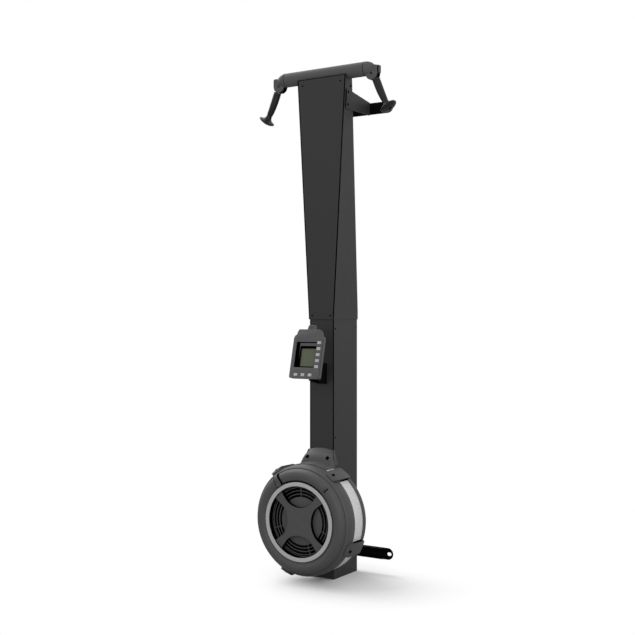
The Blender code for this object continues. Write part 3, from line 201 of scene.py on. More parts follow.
def surface(name, points, closed=(False, True), capped=False, uv=None, keep=None, sharp=35.0):
    """A grid of points as a skin: corner (row, column) joins its next row and its next column.

    closed says whether the last row and the last column join the first, capped fills the first
    and last rows, keep picks the squares that stay, and uv is the size the whole grid is laid to.
    """
    rows, columns = points.shape[:2]
    spans = (rows - 1 + closed[0], columns - 1 + closed[1])
    row, column = np.meshgrid(np.arange(spans[0]), np.arange(spans[1]), indexing="ij")
    if keep is None:
        keep = np.ones(spans, bool)
    row, column = row[keep], column[keep]
    corner_row = np.stack([row, row, row + 1, row + 1], -1)
    corner_column = np.stack([column, column + 1, column + 1, column], -1)
    faces = (corner_row % rows * columns + corner_column % columns).tolist()
    laid = None
    if uv:
        laid = np.stack([corner_column * uv[0] / spans[1], corner_row * uv[1] / spans[0]], -1)
        laid = laid.reshape(-1, 2)
    if capped:
        faces += [list(range(columns)), list(range((rows - 1) * columns, rows * columns))]
        if uv:
            laid = np.vstack([laid, np.zeros((2 * columns, 2))])
    return meshed(name, points, faces, laid, sharp)


def flowing(points, between=6):
    """A smooth line through points: cubics whose slope at a point is half the step past it."""
    p = np.asarray(points, float)
    line = np.vstack([2 * p[0] - p[1], p, 2 * p[-1] - p[-2]])
    t = np.linspace(0, 1, between, endpoint=False)[None, :, None]
    start, end = line[1:-2, None], line[2:-1, None]
    slope_in = (line[2:-1] - line[:-3])[:, None] / 2
    slope_out = (line[3:] - line[1:-2])[:, None] / 2
    curve = (2 * t**3 - 3 * t**2 + 1) * start + (t**3 - 2 * t**2 + t) * slope_in
    curve = curve + (3 * t**2 - 2 * t**3) * end + (t**3 - t**2) * slope_out
    return np.vstack([curve.reshape(-1, p.shape[1]), p[-1:]])


def eased(points, radius, closed=True, steps=4):
    """Corners rounded by the parabola from a point before each corner to a point after it."""
    p = np.asarray(points, float)
    before = np.roll(p, 1, axis=0) - p
    after = np.roll(p, -1, axis=0) - p
    cuts = []
    for way in (before, after):
        length = np.linalg.norm(way, axis=1, keepdims=True)
        cuts.append(p + way * np.minimum(radius / np.maximum(length, 1e-9), 0.45))
    t = np.linspace(0, 1, steps + 1)[None, :, None]
    curve = (1 - t) ** 2 * cuts[0][:, None] + 2 * t * (1 - t) * p[:, None] + t**2 * cuts[1][:, None]
    if closed:
        return curve.reshape(-1, p.shape[1])
    return np.vstack([p[:1], curve[1:-1].reshape(-1, p.shape[1]), p[-1:]])


def swept(section, angles, centre, axes=AHEAD_AXES):
    """Section points (r, d) at each angle a: r cos a and r sin a across the axis, d along it."""
    section = np.asarray(section, float)
    a = np.radians(np.broadcast_to(angles, (len(section), np.shape(angles)[-1])))
    r, d = section[:, :1, None], section[:, 1:, None]
    across = np.cos(a)[..., None] * axes[0] + np.sin(a)[..., None] * axes[1]
    return np.asarray(centre) + r * across + d * axes[2]


def turned(name, section, centre=HUB, axes=AHEAD_AXES, steps=96, ring=False, keep=None):
    """A section carried right round its axis; ring says that the section is a closed loop."""
    angles = np.linspace(0, 360, steps, endpoint=False)
    return surface(name, swept(section, angles, centre, axes), (ring, True), keep=keep)


def rectangle(left, low, right, high):
    """The corners of a rectangle."""
    return [(left, low), (right, low), (right, high), (left, high)]


def strip_section(inner, outer, back, front):
    """A section's four corners, between two radii and two distances along the axis."""
    return [(outer, front), (outer, back), (inner, back), (inner, front)]


def peg_section(radius, back, front):
    """The section of a solid round peg, from the axis out and back to the axis."""
    return [(0, back), (radius, back), (radius, front), (0, front)]


def sector(name, section, middle, half_angle, steps=16):
    """A closed section carried through part of a turn round the shaft, with both ends filled.

    middle and half_angle are each one number, or one for each point of the section.
    """
    half = np.broadcast_to(half_angle, len(section))[:, None]
    middle = np.broadcast_to(middle, len(section))[:, None]
    angles = middle + half * np.linspace(-1, 1, steps + 1)
    return surface(name, swept(section, angles, HUB).transpose(1, 0, 2), capped=True)


def tube(name, route, radius, sides=12, uv_length=1.0):
    """A round cord along a route in one XZ plane: at each point a ring across its direction."""
    route = np.asarray(route, float)
    along = np.gradient(route, axis=0)
    along /= np.linalg.norm(along, axis=1, keepdims=True)
    across = np.cross(along, Y)
    a = np.linspace(0, 2 * math.pi, sides, endpoint=False)[None, :, None]
    points = route[:, None] + radius * (np.cos(a) * across[:, None] + np.sin(a) * Y)
    return surface(name, points, capped=True, uv=(2 * math.pi * radius, uv_length))


def outline_inset(outline, distance):
    """A closed outline moved inwards: each point goes along the mean of its two sides' normals."""
    step = np.roll(outline, -1, axis=0) - outline
    step /= np.maximum(np.linalg.norm(step, axis=1, keepdims=True), 1e-9)
    normal = np.stack([-step[:, 1], step[:, 0]], 1)
    x, z = outline.T
    area = np.sum(x * np.roll(z, -1) - np.roll(x, -1) * z)
    mean = normal + np.roll(normal, 1, axis=0)
    mean /= np.maximum(np.linalg.norm(mean, axis=1, keepdims=True), 1e-9)
    return outline + mean * distance * np.sign(area)


def moulded(name, outline, front, back, edge, rise=None, place=None, steps=4):
    """A slab with an outline and rounded edges, between two distances along local depth.

    Its front is a fan of copies of the outline shrunk to the middle; rise lifts it by a function
    of the distance from the middle. Its edges are quarter rounds of radius edge.
    """
    outline = np.asarray(outline, float)
    middle = outline.mean(0)
    inner = outline_inset(outline, edge)
    shares = (0.0, 0.2, 0.4, 0.6, 0.75, 0.9)
    turns = np.radians(np.linspace(0, 90, steps + 1))
    rounds = [(outline_inset(outline, edge * (1 - math.sin(t))), edge * (1 - math.cos(t))) for t in turns]
    rows = [(middle + (inner - middle) * share, front) for share in shares]
    rows += [(row, front + down) for row, down in rounds]
    rows += [(row, back - down) for row, down in rounds[::-1]]
    rows.append((np.repeat(middle[None], len(outline), 0), back))
    flat = np.stack([row for row, _ in rows])
    depth = np.repeat([depth for _, depth in rows], len(outline)).reshape(len(rows), -1)
    if rise:
        lift = rise(np.linalg.norm(flat - middle, axis=2))
        depth = depth - lift * (np.arange(len(rows)) < len(shares) + len(turns))[:, None]
    points = np.stack([flat[..., 0], depth, flat[..., 1]], -1)
    return surface(name, place(points) if place else points)


def cutter(name, low, high):
    """A box between two corners, to cut away: z changes first from corner to corner, and x last."""
    (x0, y0, z0), (x1, y1, z1) = low, high
    points = [(x, y, z) for x in (x0, x1) for y in (y0, y1) for z in (z0, z1)]
    faces = [(0, 1, 3, 2), (2, 3, 7, 6), (6, 7, 5, 4), (4, 5, 1, 0), (2, 6, 4, 0), (7, 3, 1, 5)]
    return meshed(name, points, faces)


def settled(obj):
    """Make an object's modifiers part of its mesh."""
    graph = bpy.context.evaluated_depsgraph_get()
    mesh = bpy.data.meshes.new_from_object(obj.evaluated_get(graph))
    obj.modifiers.clear()
    obj.data = mesh
    return obj


def carved(obj, other, operation="DIFFERENCE"):
    """Cut another closed mesh away from an object, or join it on, and remove the other."""
    cut = obj.modifiers.new("cut", "BOOLEAN")
    cut.operation = operation
    cut.solver = "EXACT"
    cut.object = other
    settled(obj)
    bpy.data.objects.remove(other)
    smoothed(obj.data)
    return obj


def bevelled(obj, width, segments=2, angle=40.0):
    """Round the edges sharper than an angle."""
    edge = obj.modifiers.new("edge", "BEVEL")
    edge.width = width
    edge.segments = segments
    edge.limit_method = "ANGLE"
    edge.angle_limit = math.radians(angle)
    edge.harden_normals = True
    return obj


def walled(obj, thickness):
    """Give an open skin its thickness, inwards."""
    wall = obj.modifiers.new("wall", "SOLIDIFY")
    wall.thickness = thickness
    wall.offset = -1
    wall.use_even_offset = True
    return obj


def copy_of(node, width, segments=2):
    """A copy of a CAD piece with its flat faces made whole and its edges rounded."""
    mesh = cleaned(frame["nodes"][node].data.copy(), 1e-5, True)
    for spare in ("custom_normal", "sharp_face"):
        if spare in mesh.attributes:
            mesh.attributes.remove(mesh.attributes[spare])
    return bevelled(linked(node + "_finished", mesh), width, segments)


def sheet_plate(name, loops, front, back, edge, place=None):
    """A flat plate with holes: the first loop is its outline, the others its holes."""
    curve = bpy.data.curves.new(name, "CURVE")
    curve.dimensions = "2D"
    curve.fill_mode = "BOTH"
    curve.extrude = (back - front) / 2
    for loop in loops:
        spline = curve.splines.new("POLY")
        spline.points.add(len(loop) - 1)
        flat = np.column_stack([loop, np.zeros(len(loop)), np.ones(len(loop))])
        spline.points.foreach_set("co", flat.ravel())
        spline.use_cyclic_u = True
    obj = bpy.data.objects.new(name + "_curve", curve)
    SCENE.collection.objects.link(obj)
    bpy.context.view_layer.update()
    graph = bpy.context.evaluated_depsgraph_get()
    mesh = bpy.data.meshes.new_from_object(obj.evaluated_get(graph))
    bpy.data.objects.remove(obj)
    flat = np.empty(len(mesh.vertices) * 3)
    mesh.vertices.foreach_get("co", flat)
    flat = flat.reshape(-1, 3)
    points = np.stack([flat[:, 0], (front + back) / 2 - flat[:, 2], flat[:, 1]], -1)
    if place:
        points = place(points)
    mesh.vertices.foreach_set("co", points.ravel())
    return bevelled(linked(name, cleaned(mesh, flat=True)), edge, 3, 50)


def joined(name, objects):
    """Several objects as one mesh, for pieces that are a single thing in parts."""
    shape = bmesh.new()
    for obj in objects:
        settled(obj)
        shape.from_mesh(obj.data)
        bpy.data.objects.remove(obj)
    mesh = bpy.data.meshes.new(name)
    shape.to_mesh(mesh)
    shape.free()
    return linked(name, mesh)


# Finishes


class Value:
    """The output of a shader node, used like a number: each operator adds a Math node."""

    def __init__(self, nodes, socket):
        self.nodes = nodes
        self.socket = socket

    def maths(self, operation, *others, first=None):
        values = dict(enumerate([self if first is None else first, *others]))
        return self.nodes.node("ShaderNodeMath", {"operation": operation}, values)

    def __add__(self, other):
        return self.maths("ADD", other)

    __radd__ = __add__

    def __sub__(self, other):
        return self.maths("SUBTRACT", other)

    def __rsub__(self, other):
        return self.maths("SUBTRACT", self, first=other)

    def __mul__(self, other):
        return self.maths("MULTIPLY", other)

    __rmul__ = __mul__


class Nodes:
    """A node tree, and the one method that adds every node to it."""

    def __init__(self, tree):
        self.tree = tree

    def node(self, kind, settings=None, values=None, output=0):
        """Add a node: its settings first, with a ramp's stops, then its sockets' values or links."""
        node = self.tree.nodes.new(kind)
        for key, value in (settings or {}).items():
            if key == "stops":
                for element, (position, grey) in zip(node.color_ramp.elements, value):
                    element.position = position
                    element.color = (grey, grey, grey, 1)
            else:
                setattr(node, key, value)
        for key, value in (values or {}).items():
            self.feed(node.inputs[key], value)
        return Value(self, node.outputs[output])

    def feed(self, socket, value):
        """Link a value to a socket, or set it there."""
        if isinstance(value, Value):
            self.tree.links.new(value.socket, socket)
        else:
            socket.default_value = value


class Finish(Nodes):
    """A material, with its constants on the shader."""

    def __init__(self, name, roughness, specular=0.35, metallic=0.0, coat=0.0, coat_roughness=0.05):
        self.material = bpy.data.materials.new(name)
        self.material.use_nodes = True
        super().__init__(self.material.node_tree)
        self.shader = self.tree.nodes["Principled BSDF"]
        constants = {
            "Roughness": roughness,
            "Specular IOR Level": specular,
            "Metallic": metallic,
            "Coat Weight": coat,
            "Coat Roughness": coat_roughness,
        }
        for key, value in constants.items():
            self.into(key, value)

    def into(self, key, value):
        """Feed one of the shader's own sockets."""
        self.feed(self.shader.inputs[key], value)

    def noise(self, scale, detail=2.0):
        """Noise on the object's own coordinates, about 0.5."""
        laid = self.node("ShaderNodeTexCoord", output="Object")
        return self.node("ShaderNodeTexNoise", values={"Vector": laid, "Scale": scale, "Detail": detail})

    def mixed(self, factor, low, high):
        """A colour between two."""
        values = {0: factor, 6: (*low, 1), 7: (*high, 1)}
        return self.node("ShaderNodeMix", {"data_type": "RGBA"}, values, output=2)

    def bumped(self, height, distance, strength=1.0):
        """Feed a height to the surface's normal."""
        values = {"Height": height, "Distance": distance, "Strength": strength}
        self.into("Normal", self.node("ShaderNodeBump", values=values))


def shades(colour, spread):
    """A colour made darker and lighter by a share."""
    return tuple(c * (1 - spread) for c in colour), tuple(c * (1 + spread) for c in colour)


def grained(name, colour, roughness, grain, depth, spread, specular):
    """A moulded or powder-coated surface: fine grain, with broad faint changes of tone and gloss."""
    finish = Finish(name, roughness, specular)
    fine = finish.noise(grain)
    broad = finish.noise(7.0, 3.0)
    finish.into("Base Color", finish.mixed(broad * 0.7 + fine * 0.3, *shades(colour, spread)))
    finish.into("Roughness", broad * 0.14 + (roughness - 0.07))
    finish.bumped(fine, depth)
    return finish.material


def perforated(name, colour, hole, pitch, share):
    """A sheet with staggered round holes: dark where the nearer of two offset dot rows is close."""
    finish = Finish(name, 0.45, 0.4)
    laid = finish.node("ShaderNodeTexCoord", output="UV")
    split = finish.node("ShaderNodeSeparateXYZ", values={0: laid})
    u = split * (1 / pitch)
    v = Value(finish, split.socket.node.outputs[1]) * (1 / pitch)

    def reach(shift):
        across = (u + shift).maths("FRACT") - 0.5
        along = (v + shift).maths("FRACT") - 0.5
        return (across * across + along * along).maths("SQRT")

    near = reach(0.0).maths("MINIMUM", reach(0.5))
    stops = ((share - 0.05, 0), (share + 0.05, 1))
    solid = finish.node("ShaderNodeValToRGB", {"stops": stops}, {0: near})
    finish.into("Base Color", finish.mixed(solid, hole, colour))
    finish.into("Roughness", finish.noise(60.0) * 0.2 + 0.35)
    finish.bumped(solid, 0.0003, 0.6)
    return finish.material


def braided(name, colour, pitch=0.0016):
    """A cord's cover: two crossing rows of strands, on the cord's own lengths."""
    finish = Finish(name, 0.75, 0.25)
    laid = finish.node("ShaderNodeTexCoord", output="UV")
    strands = []
    for turn in (0.8, -0.8):
        values = {"Vector": laid, "Scale": (1 / pitch,) * 3, "Rotation": (0, 0, turn)}
        placed = finish.node("ShaderNodeMapping", values=values)
        across = finish.node("ShaderNodeSeparateXYZ", values={0: placed})
        strands.append((across.maths("FRACT") - 0.5).maths("ABSOLUTE"))
    height = 1 - strands[0].maths("MINIMUM", strands[1]) * 2
    finish.into("Base Color", finish.mixed(height, *shades(colour, 0.4)))
    finish.bumped(height, 0.0004, 0.8)
    return finish.material


def turned_steel(name, colour):
    """Bare turned steel: fine marks and a little change of gloss."""
    finish = Finish(name, 0.3, metallic=1.0)
    marks = finish.noise(400.0, 4.0)
    finish.into("Base Color", finish.mixed(marks, *shades(colour, 0.08)))
    finish.into("Roughness", marks * 0.2 + 0.2)
    return finish.material


def display_glass(name, colour):
    """An unlit display: faint blotches behind a clear smooth front."""
    finish = Finish(name, 0.35, 0.3, coat=0.25, coat_roughness=0.08)
    cloud = finish.noise(26.0, 3.0)
    rows = finish.noise(1400.0, 0.0)
    finish.into("Base Color", finish.mixed(cloud * 0.8 + rows * 0.2, *shades(colour, 0.10)))
    return finish.material


GRAINED = {
    # name: colour, roughness, grain, depth, spread, specular
    "column_paint": ((0.030, 0.030, 0.0305), 0.50, 1100.0, 0.00010, 0.06, 0.22),
    "bracket_paint": ((0.0025, 0.0025, 0.0025), 0.6, 900.0, 0.00006, 0.15, 0.05),
    "housing_plastic": ((0.064, 0.064, 0.065), 0.52, 700.0, 0.00014, 0.08, 0.28),
    "ring_grey": ((0.40, 0.40, 0.40), 0.42, 900.0, 0.00004, 0.04, 0.4),
    "head_plastic": ((0.088, 0.088, 0.089), 0.62, 900.0, 0.00002, 0.05, 0.12),
    "grip_rubber": ((0.010, 0.010, 0.010), 0.42, 1300.0, 0.00006, 0.10, 0.26),
    "monitor_case": ((0.082, 0.082, 0.086), 0.50, 650.0, 0.00016, 0.10, 0.3),
    "button_grey": ((0.41, 0.41, 0.41), 0.5, 1500.0, 0.00006, 0.06, 0.3),
    "nylon": ((0.003, 0.003, 0.003), 0.6, 500.0, 0.00004, 0.08, 0.05),
    "board": ((0.02, 0.10, 0.04), 0.35, 300.0, 0.00004, 0.2, 0.4),
}
FINISHES = {name: grained(name, *values) for name, values in GRAINED.items()}
FINISHES["band_mesh"] = perforated("band_mesh", (0.76, 0.76, 0.76), (0.34, 0.34, 0.34), 0.0016, 0.20)
FINISHES["display_glass"] = display_glass("display_glass", (0.072, 0.088, 0.050))
FINISHES["steel"] = turned_steel("steel", (0.45, 0.45, 0.46))
FINISHES["cord"] = braided("cord", (0.015, 0.015, 0.015))
# near-black: the real colour of screw heads and seams, and painted shade on the strips that stand for shadow
BLACK_AND_PAINTED_SHADE = grained("black_and_painted_shade", (0.0005, 0.0005, 0.0005), 0.8, 900.0, 0.00004, 0.1, 0.0)


def place(obj, slot, body, *nodes, material=None):
    """Give a piece its finish and its body, and let it stand for CAD nodes."""
    obj.data.materials.clear()
    obj.data.materials.append(material or FINISHES[slot])
    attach(obj, body)
    if nodes:
        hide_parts(*nodes)
    return obj


def near_black_and_painted_shade(obj, slot, body):
    """Give a small piece near-black and its body: the real black of screw heads and seams, and painted shade
    on strips laid where shadow falls in gaps, hollows and along edges.
    """
    return place(obj, slot, body, material=BLACK_AND_PAINTED_SHADE)


# Screws


def screw(name, centre, direction, radius, rise=0.0012):
    """A round screw head with a six-sided socket.

    Rings of points: the head's edge, its dome, then the socket, whose radius at angle a is its
    half width over the cosine of a's distance from the nearest flat's middle.
    """
    direction = np.asarray(direction, float) / np.linalg.norm(direction)
    side = np.cross(direction, X if abs(direction[0]) < 0.9 else Z)
    side /= np.linalg.norm(side)
    a = np.linspace(0, 2 * math.pi, 24, endpoint=False)
    six = 0.46 / np.cos((a + math.pi / 6) % (math.pi / 3) - math.pi / 6)
    head = np.array([0, 1, 1, 0.93, 0.78])[:, None] * np.ones(24)
    reach = radius * np.vstack([head, six, six, 0 * six])[..., None]
    height = np.array([-0.001, -0.001, *(rise * np.array([0.4, 0.8, 1, 1, 0.35, 0.25]))])[:, None, None]
    out = np.cos(a)[:, None] * side + np.sin(a)[:, None] * np.cross(direction, side)
    return surface(name, np.asarray(centre) + reach * out + height * direction, sharp=30)


def screws(name, heads, slot, body):
    """One piece of several screw heads, each (centre, direction, radius)."""
    parts = [screw(f"{name}_{i}", *head) for i, head in enumerate(heads)]
    return near_black_and_painted_shade(joined(name, parts), slot, body)


# Column and brackets


def upper_half(z):
    """Half the outside width of the upper column at a height."""
    share = max(0.0, (z - TAPER_START_Z) / (UPPER_TOP_Z - TAPER_START_Z))
    return UPPER_SEAM_HALF + (UPPER_TOP_HALF - UPPER_SEAM_HALF) * share


def column():
    """The folded sheets with eased folds, and their screws and painted shade lines."""
    for node in ("lower_column", "upper_column"):
        place(copy_of(node, 0.0009, 3), "column_paint", "frame", node)
    painted_black = ("base_plate", "shaft_carrier", "idler_bracket", "monitor_arm", "top_wall_plate")
    for node in ("upper_front_cover", *painted_black, "left_gusset", "right_gusset"):
        slot = "bracket_paint" if node in painted_black else "column_paint"
        place(copy_of(node, 0.0006), slot, "frame", node)
    heads = []
    for z, inset in ((1.108, 0.017), (2.0875, 0.025)):
        for side in (-1, 1):
            heads.append(((side * (upper_half(z) - inset), ahead(COVER_FACE - 0.0012), z), -Y, 0.0052))
    for side in (-1, 1):
        for behind, z in ((0.0115, 1.053), (0.181, 1.056), (0.0107, 0.595)):
            heads.append(((side * LOWER_HALF_WIDTH, ahead(-behind), z), side * X, 0.0036))
        heads.append(((side * upper_half(2.0715), ahead(-0.039), 2.0715), side * X, 0.0050))
        for behind, z in ((0.019, 2.0424), (0.020, 1.9905)):
            heads.append(((side * (upper_half(z) + 0.0033), ahead(-behind), z), side * X, 0.0050))
    screws("column_screws", heads, "bracket_paint", "frame")
    painted_shade_lines()


def painted_shade_lines():
    """Painted shade on the column: near-black strips along its folds, beside the gussets and under the bar,
    where shadow falls.
    """
    lean = (UPPER_TOP_HALF - UPPER_SEAM_HALF) / (UPPER_TOP_Z - TAPER_START_Z)
    lines = []
    for side in (-1, 1):
        lower = (0.0, 0.545, 1.091, LOWER_HALF_WIDTH, LOWER_HALF_WIDTH)
        upper = (COVER_FACE, 1.093, COVER_TOP_Z, upper_half(1.093), upper_half(COVER_TOP_Z))
        for face, low, high, low_half, high_half in (lower, upper):
            # painted shade: a near-black strip just inside each fold of the front
            outline = [(side * (low_half - 0.0058), low), (side * (low_half - 0.0008), low),
                       (side * (high_half - 0.0008), high), (side * (high_half - 0.0058), high)]
            lines.append(moulded(f"painted_shade_line_{side}_{low}", outline, -face - 0.0002, 0.0010 - face, 0.0001,
                                 place=from_front))

        def beside(p):
            """From (distance back, distance out of the leaning side, height) to the world."""
            x = side * (UPPER_SEAM_HALF + (p[..., 2] - TAPER_START_Z) * lean + p[..., 1])
            return np.stack([x, FRONT_Y + p[..., 0], p[..., 2]], -1)

        # painted shadow cast by the gusset's front edge on the column's side
        outline = [(0.0008, 1.979), (0.0062, 1.979), (0.0062, 2.050), (0.0008, 2.050)]
        lines.append(moulded(f"gusset_painted_shadow_{side}", outline, 0.0030, 0.0037, 0.0001, place=beside))
    # painted shadow under the bar, along the cover's top
    half = upper_half(COVER_TOP_Z) - 0.0012
    outline = [(-half, 2.1108), (half, 2.1108), (half, 2.1132), (-half, 2.1132)]
    lines.append(moulded("painted_shadow_under_bar", outline, -COVER_FACE - 0.0003, -0.0045, 0.0001, place=from_front))
    near_black_and_painted_shade(joined("column_painted_shade_lines", lines), "bracket_paint", "frame")


def long_hole(x, z, half_length, radius, count=10):
    """A hole with straight sides and round ends."""
    a = np.radians(np.linspace(-90, 90, count))
    right = np.stack([x + half_length + radius * np.cos(a), z + radius * np.sin(a)], 1)
    left = np.stack([x - half_length - radius * np.cos(a), z - radius * np.sin(a)], 1)
    return np.vstack([right, left])


def lower_bracket():
    """The lower wall bar: a plate with round ends and long holes, and its two folded flanges."""
    outline = long_hole(0, LOWER_BRACKET_Z, 0.2055, 0.025, 14)
    holes = [long_hole(side * 0.2125, LOWER_BRACKET_Z, 0.003, 0.0072) for side in (-1, 1)]
    to_wall = WALL_Y - 0.003 - FRONT_Y
    parts = [sheet_plate("lower_bar_plate", [outline, *holes], to_wall, to_wall + 0.003, 0.0006, from_front)]
    for sign in (-1, 1):
        edge = LOWER_BRACKET_Z + sign * 0.023
        low, high = sorted((edge, edge - sign * 0.003))
        # plan of a flange: straight along the column, with the front corners cut off
        plan = [(-0.1875, 0.1085), (0.1875, 0.1085), (0.1875, 0.1005), (0.1820, 0.0951),
                (-0.1820, 0.0951), (-0.1875, 0.1005)]
        plan = eased(plan, 0.0015)
        rows = []
        for inset, z in ((0.0005, low), (0.0, low + 0.0005), (0.0, high - 0.0005), (0.0005, high)):
            ring = outline_inset(plan, inset)
            rows.append(np.column_stack([ring, np.full(len(ring), z)]))
        parts.append(surface(f"lower_bar_flange_{sign}", np.stack(rows), capped=True))
    place(joined("lower_wall_bar", parts), "bracket_paint", "frame", "lower_wall_bracket")


# Crossbar, heads and handles


def crossbar():
    """The bar's tube, open below between its two inner pulleys, and the pins of the pulleys."""
    along = np.linspace(-BAR_HALF, BAR_HALF, 25)
    along = np.unique(np.append(along, [-BAR_SLOT_HALF, BAR_SLOT_HALF]))
    steps = 96
    middle = (along[1:] + along[:-1]) / 2
    angle = (np.arange(steps) + 0.5) * 360 / steps
    open_below = (np.abs(middle) < BAR_SLOT_HALF)[:, None] & (np.abs(angle - 270) < 22.5)[None]
    section = np.stack([np.full(len(along), BAR_RADIUS), along], 1)
    bar = turned("crossbar_tube", section, BAR_MIDDLE, BAR_AXES, steps, keep=~open_below)
    walled(bar, BAR_WALL)
    settled(bar)
    bevelled(bar, 0.0012, 3, 60)
    place(bar, "head_plastic", "frame", "crossbar")
    pins, seams = [], []
    for side in (-1, 1):
        centre = (side * 0.030, BAR_Y, BAR_Z - 0.016)
        pins.append(turned(f"pin_{side}", peg_section(PIN_RADIUS, -0.023, 0.023), centre, steps=24))
        section = strip_section(BAR_RADIUS - 0.0025, BAR_RADIUS, side * 0.1966, side * 0.1982)
        seams.append(turned(f"bar_seam_{side}", section, BAR_MIDDLE, BAR_AXES, ring=True))
    place(joined("top_pulley_pins", pins), "steel", "frame")
    near_black_and_painted_shade(joined("bar_end_seams", seams), "head_plastic", "frame")


def head_outline(side):
    """A head's cheek seen from the front: a disc with a block above its outer side."""
    a = np.radians(np.linspace(4, -250, 40))
    disc = np.stack([HEAD_X + HEAD_RADIUS * np.cos(a), HEAD_Z + HEAD_RADIUS * np.sin(a)], 1)
    corner = 0.003
    upper = [(HEAD_X + 0.006, HEAD_TOP_Z), (HEAD_OUTER_X - corner, HEAD_TOP_Z),
             (HEAD_OUTER_X, HEAD_TOP_Z - corner)]
    outline = np.vstack([disc, eased(upper, 0.002, closed=False)])
    return outline * (side, 1)


def nose_points(side, gap=0.0):
    """The end of the bar, drawn down to the head: a round section at each reach along the bar.

    With t from 90 down to 12 degrees the reach grows as cos t, and the radius is the tip's plus
    the rest of the bar's radius times sin t to the power 1.45. A gap is added to every radius.
    """
    t = np.radians(np.linspace(90, 12, 22))
    reach = (NOSE_LENGTH - 0.004) * np.cos(t)
    radius = NOSE_TIP + (BAR_RADIUS - NOSE_TIP) * np.sin(t) ** 1.45
    edge = [(0, 0), (0, BAR_RADIUS - 0.0014), (0.0004, BAR_RADIUS - 0.0005), (0.0014, BAR_RADIUS)]
    body = np.stack([reach + 0.0014, radius], 1)[1:]
    tip = [(NOSE_LENGTH - 0.001, NOSE_TIP), (NOSE_LENGTH, NOSE_TIP * 0.7), (NOSE_LENGTH, 0)]
    rows = np.vstack([edge, body, tip])
    rows[1:-1, 1] += gap
    a = np.linspace(0, 2 * math.pi, 64, endpoint=False)
    x = side * (NOSE_START + rows[:, :1] + 0 * a)
    return np.stack([x, BAR_Y + rows[:, 1:] * np.cos(a), BAR_Z + rows[:, 1:] * np.sin(a)], -1)


def cord_head(side, word):
    """One swivelling head: the drawn-in nose with its rear cheek and guard, and the front cheek."""

    def slab(part, outline, front, back, edge):
        return moulded(f"{word}_{part}", outline, front, back, edge, place=lambda p: p + (0, BAR_Y, 0))

    body = word + "_head"
    centre = (side * HEAD_X, BAR_Y, HEAD_Z)
    outline = head_outline(side)
    nose = surface(word + "_head_body", nose_points(side))
    cheek = slab("front_cheek", outline, -CHEEK_OUTER, -CHEEK_INNER, 0.0014)
    carved(cheek, surface(word + "_nose_way", nose_points(side, 0.0009)))
    carved(nose, slab("rear_cheek", outline, CHEEK_INNER, CHEEK_OUTER, 0.0014), "UNION")
    left, right = sorted(side * x for x in GUARD_X)
    guard = eased(rectangle(left, GUARD_BOTTOM_Z, right, HEAD_TOP_Z - 0.001), 0.002)
    carved(nose, slab("guard", guard, -CHEEK_INNER + 0.0003, CHEEK_INNER + 0.003, 0.001), "UNION")
    left, right = sorted((side * (NOSE_START + 0.008), side * (GUARD_X[0] - 0.0002)))
    low = (left, BAR_Y - CHEEK_INNER, HEAD_Z - 0.04)
    high = (right, BAR_Y + CHEEK_INNER, BAR_Z + 0.010)
    carved(nose, cutter(word + "_cord_way", low, high))
    place(nose, "head_plastic", body, word + "_head_nose")
    place(cheek, "head_plastic", body, word + "_head_cover")
    pin = turned(word + "_end_pin", peg_section(PIN_RADIUS, -CHEEK_INNER, CHEEK_INNER), centre, steps=24)
    place(pin, "steel", body)
    # painted shade: a near-black rim at the rear cheek's edge, and a near-black strip in the mouth between
    # the front cheek and the guard, where shadow falls inside the head
    rim = turned(word + "_rim", peg_section(HEAD_RADIUS + 0.0001, -0.0150, -0.0087), centre, steps=64)
    left, right = sorted((side * 0.2560, side * 0.2630))
    joint = rectangle(left, GUARD_BOTTOM_Z + 0.001, right, HEAD_TOP_Z - 0.003)
    joint = slab("joint", joint, -CHEEK_INNER - 0.0001, -CHEEK_INNER + 0.0005, 0.0001)
    near_black_and_painted_shade(joined(word + "_head_painted_shade", [rim, joint]), "head_plastic", body)
    face = (side * HEAD_X, BAR_Y - CHEEK_OUTER + 0.0004, HEAD_Z)
    screws(word + "_head_screw", [(face, -Y, 0.0054, 0.0009)], "head_plastic", body)


def handle_axes(side):
    """A handle's axis and two directions across it."""
    down = np.array([side * math.sin(SPLAY), 0, -math.cos(SPLAY)])
    return (-Y, np.cross(-Y, down), down)


def handle_top(side):
    """Where a handle's axis meets its top face."""
    return np.array([side * HANDLE_TOP[0], BAR_Y, HANDLE_TOP[1]])


def bent(points, side):
    """A handle's points carried on to its curved axis.

    With s from 0 at the top to 1 at the foot, the axis leans outwards by the bend times 3 s^2 - 1
    from the cord's line, so it stands off that line by the bend times the length times s^3 - s.
    """
    top = handle_top(side)
    front, across, down = handle_axes(side)
    across = side * across
    away = points - top
    s = away @ down / HANDLE_LENGTH
    lean = HANDLE_BEND * (3 * s**2 - 1)
    u = away @ across
    shift = HANDLE_BEND * HANDLE_LENGTH * (s**3 - s) + u * np.cos(lean)
    along = s * HANDLE_LENGTH - u * np.sin(lean)
    return top + (away @ front)[..., None] * front + shift[..., None] * across + along[..., None] * down


